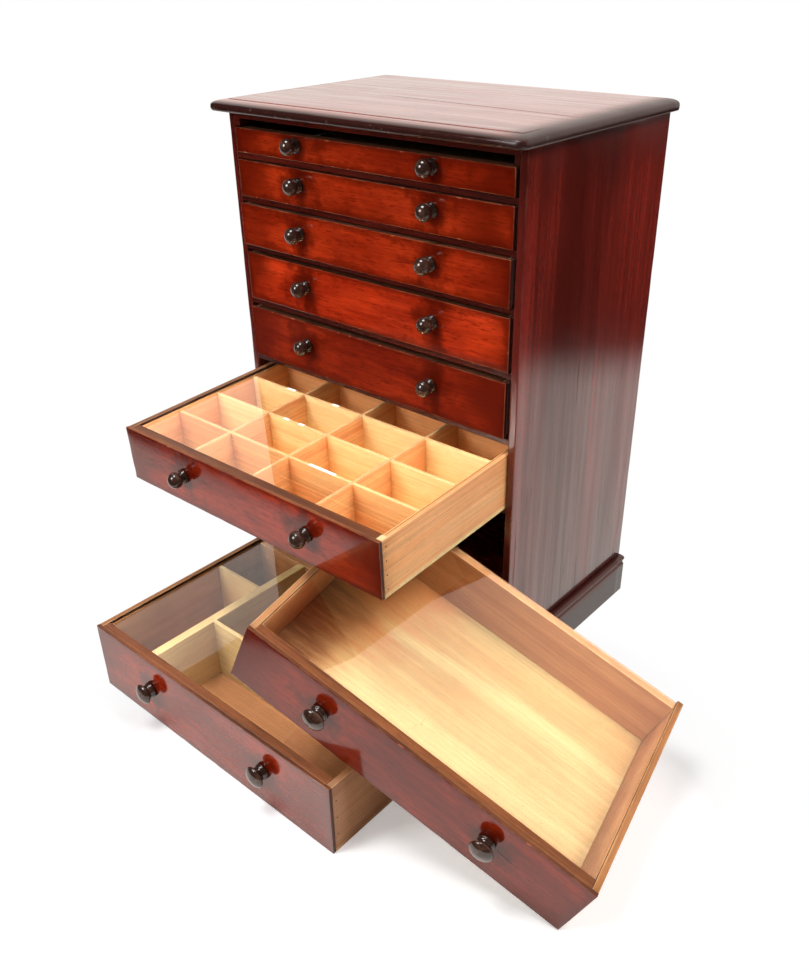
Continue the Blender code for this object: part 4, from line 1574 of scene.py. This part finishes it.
@dataclass
class LeaningDrawer(Drawer):
    """The drawer that leans on its corner, with a cracked front and an open floor seam."""

    crack_at: Tuple[float, float] = (0.1085, 0.0422)
    crack_step: Tuple[float, float] = (0.0036, -0.0005)
    seam_at: Tuple[float, float] = (-0.0228, 0.066)
    seam_step: Tuple[float, float] = (0.0034, 0.0105)

    def build_marks(self) -> None:
        """Crack in the front and seam in the bottom board."""
        crack = Shape(70.0)
        for k in range(5):
            u, w = (at + k * step for at, step in zip(self.crack_at, self.crack_step))
            top = (u + 0.0040, 0.0004, w + 0.00030)
            crack.board((u, -0.00005, w - 0.00035), top, 0.0001, Grain.ACROSS)
        crack.build("drawer_7_crack", self.place, ("crack",), self.stem)
        seam = Shape(71.0)
        for k in range(6):
            u, v = (at + k * step for at, step in zip(self.seam_at, self.seam_step))
            seam.board((u, v, 0.0037), (u + 0.0005, v + 0.0110, 0.00405), 0.0001, Grain.DEPTH)
        seam.build("drawer_7_floor_seam", self.place, ("seam",), self.stem)


@dataclass
class NailRows:
    """Rows of small nail heads, made by one Geometry Nodes tree."""

    head_r: float = 0.0009
    tree: Optional[bpy.types.NodeTree] = None

    def make_tree(self) -> bpy.types.NodeTree:
        """Builds the tree: a line of points with a low domed head on each.

        Returns:
            The tree.
        """
        tree = bpy.data.node_groups.new("Nail row", "GeometryNodeTree")
        kinds = {"Count": "Int", "Start": "Vector", "Pitch": "Vector", "Head": "Float", "Metal": "Material"}
        for label, kind in kinds.items():
            tree.interface.new_socket(label, in_out="INPUT", socket_type=f"NodeSocket{kind}")
        tree.interface.new_socket("Mesh", in_out="OUTPUT", socket_type="NodeSocketGeometry")
        graph = Graph(tree)
        start, end = graph.add("NodeGroupInput"), graph.add("NodeGroupOutput")
        line = graph.add("GeometryNodeMeshLine", mode="OFFSET")
        graph.feed(line.inputs["Count"], start.outputs["Count"])
        graph.feed(line.inputs["Start Location"], start.outputs["Start"])
        graph.feed(line.inputs["Offset"], start.outputs["Pitch"])
        head = graph.add("GeometryNodeMeshUVSphere", {"Segments": 12, "Rings": 6})
        graph.feed(head.inputs["Radius"], start.outputs["Head"])
        put = graph.add("GeometryNodeInstanceOnPoints", {"Scale": (0.35, 1.0, 1.0)})
        graph.feed(put.inputs["Points"], line.outputs[0])
        graph.feed(put.inputs["Instance"], head.outputs[0])
        real = graph.add("GeometryNodeRealizeInstances", {0: put.outputs[0]})
        paint = graph.add("GeometryNodeSetMaterial", {"Geometry": real.outputs[0]})
        graph.feed(paint.inputs["Material"], start.outputs["Metal"])
        graph.feed(end.inputs["Mesh"], paint.outputs[0])
        return tree

    def drive(self, drawer: Drawer) -> None:
        """Puts a row of nails into each side of a drawer, near its front.

        Args:
            drawer: The drawer.
        """
        self.tree = self.tree or self.make_tree()
        count, lowest, pitch = drawer.nails
        for name, hand in HANDS:
            piece = new_object(f"{drawer.stem}_nails_{name}", bpy.data.meshes.new("nails"))
            step = piece.modifiers.new("nails", "NODES")
            step.node_group = self.tree
            values = {
                "Count": count,
                "Start": (hand * drawer.half, drawer.nail_v, lowest),
                "Pitch": (0.0, 0.0, pitch),
                "Head": self.head_r,
                "Metal": FINISH["iron"],
            }
            for socket in self.tree.interface.items_tree:
                if socket.in_out == "INPUT":
                    step[socket.identifier] = values[socket.name]
            bpy.context.view_layer.update()
            graph = bpy.context.evaluated_depsgraph_get()
            mesh = bpy.data.meshes.new_from_object(piece.evaluated_get(graph))
            piece.modifiers.clear()
            mesh.transform(drawer.place)
            mesh.polygons.foreach_set("use_smooth", [True] * len(mesh.polygons))
            piece.data = mesh
            mount(piece, drawer.stem)


def dress(node: str, finish: str) -> None:
    """Gives a CAD node that stays in view its finish.

    Args:
        node: Name of the node.
        finish: Short name of the finish.
    """
    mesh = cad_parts[node].data
    mesh.materials.clear()
    mesh.materials.append(FINISH[finish])
    LOG.info("%s wears %s", node, finish)


@dataclass
class Carcass:
    """Top board, sides, plinth and the boards inside the cabinet."""

    width: float = 0.420
    depth: float = 0.272
    height: float = 0.63723
    side_t: float = 0.0092
    top_t: float = 0.0118
    over_front: float = 0.0235
    over_side: float = 0.0095
    mould_front: float = 0.0215
    mould_side: float = 0.0148
    corner_r: float = 0.010
    nose: float = 0.0040
    nose_inset: float = 0.14
    quirk: float = 0.0004
    quirk_inset: float = 0.97
    plinth_h: float = 0.0565
    plinth_out: float = 0.008
    plinth_mould: float = 0.0125
    bead_r: float = 0.0034
    bead_out: float = 0.0005
    cove: float = 0.0018
    fit: float = 0.0003

    def put(
        self, shape: Shape, name: str, node: str, finish: str, place: Matrix = STRAIGHT
    ) -> None:
        """Makes a board of the carcass from its shape.

        Args:
            shape: The shape.
            name: Name of the piece.
            node: CAD node that it stands for.
            finish: Short name of its finish.
            place: Matrix from the shape's frame to the part's frame.
        """
        shape.build(name, place, (finish,), "carcass", [node], "mahogany_dark")

    def build_sides(self) -> None:
        """Side boards with worn front arrises."""
        half = self.width / 2
        boards = (("left", -half, -half + self.side_t), ("right", half - self.side_t, half))
        for name, low, high in boards:
            shape = Shape(90.0 + low)
            top = (high, self.depth, self.height)
            shape.board((low, 0.0, 0.0), top, 0.0010, Grain.UPRIGHT, wear=0.0006)
            self.put(shape, f"side_{name}_board", f"side_{name}", "carcass")

    def top_ring(self, inset: float, height: float) -> np.ndarray:
        """Outline of the top board at one height.

        Args:
            inset: How far the moulding has drawn in, from 0 to 1.
            height: Height over the underside.

        Returns:
            The ring of points, from the left rear corner round the front.
        """
        half = self.width / 2 + self.over_side - inset * self.mould_side
        front = -self.over_front + inset * self.mould_front
        radius = self.corner_r * (1 - 0.75 * inset)
        turn = np.linspace(0, math.pi / 2, 9)
        run_back = np.linspace(self.depth, front + radius, 30, endpoint=False)
        left = np.stack([np.full(len(run_back), -half), run_back], 1)
        arc = np.stack([-half + radius - radius * np.cos(turn), front + radius - radius * np.sin(turn)], 1)
        run = np.linspace(-half + radius, half - radius, 90)[1:-1]
        middle = np.stack([run, np.full(len(run), front)], 1)
        flip = np.array([-1.0, 1.0])
        ring = np.concatenate([left, arc, middle, arc[::-1] * flip, left[::-1] * flip])
        beside = np.clip(ring[:, 1:] / 0.03, 0.0, 1.0)
        share = np.clip((height - self.nose) / (self.top_t - self.quirk - self.nose), 0.0, 1.0)
        lift = 0.85 * self.quirk * share * (inset < self.quirk_inset + 0.001) * beside
        return np.concatenate([ring, self.height + self.fit + height + lift], 1)

    def build_top(self) -> None:
        """Top board with a rounded nose, a fine quirk and a knocked front edge."""
        rise = self.top_t - self.quirk - self.nose
        steps = []
        for k in range(6):
            angle = k / 5 * math.pi / 2
            inset = self.nose_inset * (1 - math.sin(angle))
            steps.append((inset, self.nose * (1 - math.cos(angle))))
        for k in range(1, 13):
            angle = k / 12 * math.pi / 2
            inset = self.quirk_inset * (1 - math.cos(angle))
            steps.append((inset, self.nose + rise * math.sin(angle) ** 0.55))
        steps.append((self.quirk_inset + 0.002, self.top_t - 0.0001))
        steps += [(1.0, self.top_t), (1.06, self.top_t)]
        rings = [self.top_ring(inset, level) for inset, level in steps]
        verts = np.concatenate(rings)
        spans = [0.02 * min(abs(inset), abs(inset - self.quirk_inset)) for inset, _ in steps]
        gaps = np.repeat(np.array(spans), len(rings[0]))
        for i in np.nonzero((gaps < 0.006) & (verts[:, 1] < 0.0))[0]:
            depth = knocks(verts[i], 40.0, 150.0, 0.6) * math.exp(-gaps[i] / 0.003)
            verts[i, 1] += 0.0008 * depth
            verts[i, 2] -= 0.0003 * depth
        faces = tube_faces(len(rings), len(rings[0]))
        shape = Shape(95.0)
        shape.add(verts, faces, shape.along(verts, Grain.ACROSS), gaps)
        self.put(shape, "top_moulded", "top_board", "top")

    def plinth_profile(self) -> List[Corner]:
        """Cross-section of a plinth board.

        Returns:
            Outward distance, height and radius of each corner.
        """
        out, flat = self.plinth_out, self.plinth_h - self.plinth_mould
        points = [(self.fit, 0.0, 0.0), (out, 0.0, 0.0006), (out, flat, 0.0005)]
        points.append((out - 0.75 * self.cove, flat + 0.6 * self.cove, 0.0))
        points.append((out - self.cove, flat + 1.8 * self.cove, 0.0))
        for degrees in range(-60, 91, 10):
            angle = math.radians(degrees)
            across = out + self.bead_out - self.bead_r + self.bead_r * math.cos(angle)
            points.append((across, self.plinth_h - 1.2 * self.bead_r + self.bead_r * math.sin(angle), 0.0))
        return points + [(self.fit, self.plinth_h, 0.0)]

    def build_plinth(self) -> None:
        """Moulded plinth boards, mitred at the front corners."""
        half = self.width / 2
        mirror = Matrix(((1, 0, 0, 0), (0, -1, 0, 0), (0, 0, 1, 0), (0, 0, 0, 1)))
        profile = self.plinth_profile()
        shape = Shape(96.0)
        shape.sweep(profile[::-1], 0, -half, half, Grain.ACROSS, mitre=(-1.0, 1.0))
        flip_faces(shape)
        self.put(shape, "plinth_front_moulded", "plinth_front", "plinth", mirror)
        for name, hand in HANDS:
            turned = [(z, hand * (half + out), r) for out, z, r in profile]
            shape = Shape(97.0 + hand)
            shape.sweep(turned if hand > 0 else turned[::-1], 1, 0.0, self.depth, Grain.DEPTH)
            trim_mitre(shape, half)
            self.put(shape, f"plinth_{name}_moulded", f"plinth_{name}", "plinth")

    def dress_inner(self) -> None:
        """Finishes of the boards that keep their own solids."""
        for node in ["bottom_board", "top_rail"] + [f"shelf_{k}" for k in range(1, 8)]:
            dress(node, "shelf")
        dress("back_panel", "back")

    def build(self) -> None:
        """Builds the carcass."""
        self.build_top()
        self.build_sides()
        self.build_plinth()
        self.dress_inner()


def flip_faces(shape: Shape) -> None:
    """Turns a shape's faces round, for a frame that mirrors."""
    shape.faces = [face[::-1] for face in shape.faces]


def trim_mitre(shape: Shape, half: float) -> None:
    """Slants the front end of a plinth side to the mitre.

    Args:
        shape: The swept board.
        half: Half the carcass width.
    """
    verts = shape.verts[0]
    out = np.abs(verts[:, 0]) - half
    reach = np.maximum(0.0, 1.0 - verts[:, 1] / 0.02)
    verts[:, 1] += reach * (0.00045 - out)


def ray_kinds(graph: Graph) -> Tuple[Socket, Socket]:
    """Tells what a ray has met before it comes to a surface.

    Args:
        graph: Graph of a material or of the world.

    Returns:
        Whether it comes straight from the camera or through glass, and whether polish mirrored it.
    """
    path = graph.add("ShaderNodeLightPath")
    straight = graph.math("MAXIMUM", path.outputs["Is Camera Ray"], path.outputs["Is Transmission Ray"])
    return straight, path.outputs["Is Glossy Ray"]


@dataclass
class Studio:
    """Floor, lights, world and the camera at the photograph's place."""

    eye: Point = (0.7070, -0.7396, 0.7919)
    yaw: float = -0.7247
    pitch: float = 0.5186
    roll: float = 0.0187
    focal_px: float = 935.43
    frame_px: float = 972.0
    sky: float = 0.18
    sheet: float = 0.90
    glow: float = 0.35
    mirrored_glow: float = 0.20
    warm: Colour = (1.0, 0.94, 0.88)
    floor_reach: float = 5.0
    floor_z: float = -0.0004
    sheet_slant: float = 0.86
    sheet_right: Tuple[float, float] = (1.32, 1.68)
    sheet_front: Tuple[float, float] = (-0.518, -0.490)
    middle: Tuple[float, float] = (0.28, -0.30)
    fade: Tuple[float, float] = (0.28, 0.48)
    aim: Point = (0.05, -0.05, 0.3)

    def place_camera(self) -> None:
        """Sets the camera from the fitted view."""
        level = math.cos(self.pitch)
        ahead = Vector((math.sin(self.yaw) * level, math.cos(self.yaw) * level, -math.sin(self.pitch)))
        right = Vector((math.cos(self.yaw), -math.sin(self.yaw), 0.0))
        down = ahead.cross(right)
        turned_right = math.cos(self.roll) * right + math.sin(self.roll) * down
        turned_down = -math.sin(self.roll) * right + math.cos(self.roll) * down
        data = bpy.data.cameras.new("camera")
        data.sensor_width = SENSOR_MM
        data.lens = self.focal_px / self.frame_px * SENSOR_MM
        data.clip_start = 0.05
        camera = new_object("camera", data)
        axes = Matrix((turned_right, -turned_down, -ahead)).transposed().to_4x4()
        camera.matrix_world = Matrix.Translation(self.eye) @ axes
        bpy.context.scene.camera = camera

    def lay_floor(self) -> None:
        """Puts the white sheet on the floor."""
        mesh = bpy.data.meshes.new("floor")
        signs = ((-1, -1), (1, -1), (1, 1), (-1, 1))
        corners = [(a * self.floor_reach, b * self.floor_reach, self.floor_z) for a, b in signs]
        mesh.from_pydata(corners, [], [(0, 1, 2, 3)])
        floor = new_object("floor", mesh)
        mesh.materials.append(self.sheet_finish())

    def sheet_finish(self) -> bpy.types.Material:
        """White sheet; polish mirrors it but not what lies beyond its edges.

        Returns:
            The material.
        """
        made, graph, shader, _ = new_material("pale_sheet")
        place = graph.add("ShaderNodeTexCoord").outputs["Object"]
        parts = graph.add("ShaderNodeSeparateXYZ", {0: place})
        x, y = parts.outputs[0], parts.outputs[1]
        slant = graph.math("ADD", x, graph.times(y, self.sheet_slant))
        right = graph.ramp(slant, *self.sheet_right)
        front = graph.ramp(y, *self.sheet_front, 1.0, 0.0)
        straight, glossy = ray_kinds(graph)
        beyond = graph.times(graph.math("MAXIMUM", right, front), glossy)
        middle = graph.vector("SUBTRACT", place, (*self.middle, self.floor_z))
        away = graph.add("ShaderNodeVectorMath", {0: middle}, operation="LENGTH").outputs["Value"]
        seen = graph.math("MAXIMUM", straight, glossy)
        far = graph.times(graph.ramp(away, *self.fade), seen)
        dark = graph.math("MAXIMUM", far, beyond)
        white = graph.mix(glossy, scaled(WHITE, self.sheet), scaled(self.warm, self.sheet))
        graph.feed(shader.inputs["Base Color"], graph.mix(dark, white, BLACK))
        least = graph.ramp(glossy, 0.0, 1.0, self.glow, self.mirrored_glow)
        glow = graph.math("MAXIMUM", far, least)
        glow = graph.times(glow, graph.math("SUBTRACT", seen, beyond))
        graph.feed(shader.inputs["Emission Strength"], glow)
        graph.feed(shader.inputs["Emission Color"], graph.mix(glossy, WHITE, self.warm))
        shader.inputs["Roughness"].default_value = 0.9
        shader.inputs["Specular IOR Level"].default_value = 0.0
        return made

    def light(self) -> None:
        """Soft sky, a key lamp overhead, a lamp high at the right and one in front."""
        world = bpy.data.worlds.new("studio")
        bpy.context.scene.world = world
        world.use_nodes = True
        graph = Graph(world.node_tree)
        sky = world.node_tree.nodes["Background"]
        ray = graph.add("ShaderNodeSeparateXYZ", {0: graph.add("ShaderNodeTexCoord").outputs["Generated"]})
        behind = graph.ramp(ray.outputs[1], -0.10, 0.30, 0.03, 1.0)
        straight, glossy = ray_kinds(graph)
        strength = graph.between(glossy, self.sky, behind)
        graph.feed(sky.inputs["Strength"], graph.between(straight, strength, 1.0))
        graph.feed(sky.inputs["Color"], graph.mix(glossy, WHITE, self.warm))
        self.lamp("key", (-0.30, -0.65, 2.45), 0.8, 30.0)
        self.lamp("side", (1.3, 0.2, 1.9), 0.6, 27.0, False)
        self.lamp("front", (-0.7, -1.9, 1.42), 0.7, 23.5)

    def lamp(self, name: str, at: Point, size: float, power: float, mirrored: bool = True) -> None:
        """Adds a square soft lamp that points at the cabinet.

        Args:
            name: Name of the lamp.
            at: Its place.
            size: Length of its sides.
            power: Watts.
            mirrored: Whether polish and glass mirror it.
        """
        data = bpy.data.lights.new(name, "AREA")
        data.size = size
        data.energy = power
        lamp = new_object(name, data)
        lamp.location = at
        lamp.visible_glossy = mirrored
        ahead = Vector(self.aim) - Vector(at)
        lamp.rotation_euler = ahead.to_track_quat("-Z", "Y").to_euler()

    def build(self) -> None:
        """Sets up the studio."""
        self.place_camera()
        self.lay_floor()
        self.light()
        bpy.context.scene.view_settings.view_transform = "Standard"


def pose(at: Point, turn_z: float = 0.0, turn_y: float = 0.0, turn_x: float = 0.0) -> Matrix:
    """Frame of a drawer from its front underside's middle and its turns.

    Args:
        at: Middle of the front's lower edge.
        turn_z: Turn about the upright.
        turn_y: Turn about its depth.
        turn_x: Turn about its width.

    Returns:
        The matrix.
    """
    return Matrix.Translation(at) @ Euler((turn_x, turn_y, turn_z), "XYZ").to_matrix().to_4x4()


def drawers() -> List[Drawer]:
    """The eight drawers where they stand in the photograph.

    Returns:
        The drawers, from the top down.
    """
    # Depth of painted shade behind the fronts of the closed drawers.
    stain_and_shade = 0.03
    crate = CrateDrawer(
        6, 0.0686, pose((0.005059, -0.208841, 0.244978), 0.014886, 0.0, 0.036), tone=0.85, core_tone=0.8,
        box="box_pale", right_rim="box_pale", nails=(4, 0.0094, 0.0168))
    leaning = LeaningDrawer(
        7, 0.0803, pose((0.267249, -0.2764, 0.081598), 0.2064, 0.422311, 0.0483), tone=0.6, core_tone=1.0,
        box_tone=0.67, floor_tone=0.63, face="front_worn", floor="floor_stained_shaded", left_rim="box",
        right_rim="box", knob=FLAT_KNOB, nails=(4, 0.012, 0.0185))
    ribbed = RibDrawer(
        8, 0.0916, pose((0.0265, -0.3135, 0.0), -0.0021), tone=0.75, core_tone=1.3, box_tone=0.58,
        floor_tone=0.70, floor="box", left_rim="box", right_rim="box",
        knob=FLAT_KNOB, nails=(3, 0.0225, 0.0235))
    return [
        # The top drawer's box and floor are toned dark as painted shade inside its slot.
        Drawer(
            1, 0.0274, pose((-0.0004, -0.0017, 0.591230)), tone=0.92, stain_and_shade=stain_and_shade, box_tone=0.4,
            floor_tone=0.3),
        Drawer(2, 0.0416, pose((-0.0004, -0.0019, 0.541430)), tone=0.88, stain_and_shade=stain_and_shade),
        Drawer(
            3, 0.0495, pose((-0.0004, -0.0048, 0.483430)), tone=0.98, stain_and_shade=stain_and_shade,
            nails=(3, 0.010, 0.0147)),
        Drawer(
            4, 0.0584, pose((-0.0007, -0.0014, 0.414530)), tone=1.45, stain_and_shade=stain_and_shade,
            nails=(3, 0.010, 0.0190)),
        Drawer(
            5, 0.0645, pose((-0.0018, -0.0026, 0.338530)), tone=0.72, stain_and_shade=stain_and_shade, face="front_dull",
            nails=(4, 0.010, 0.0148)),
        crate,
        leaning,
        ribbed,
    ]


def main() -> None:
    """Dresses the cabinet and sets up its studio."""
    logging.basicConfig(level=logging.INFO, format="%(message)s")
    mix_finishes()
    Carcass().build()
    rows = NailRows()
    for drawer in drawers():
        drawer.build(rows)
    Studio().build()


if __name__ == "__main__":
    main()
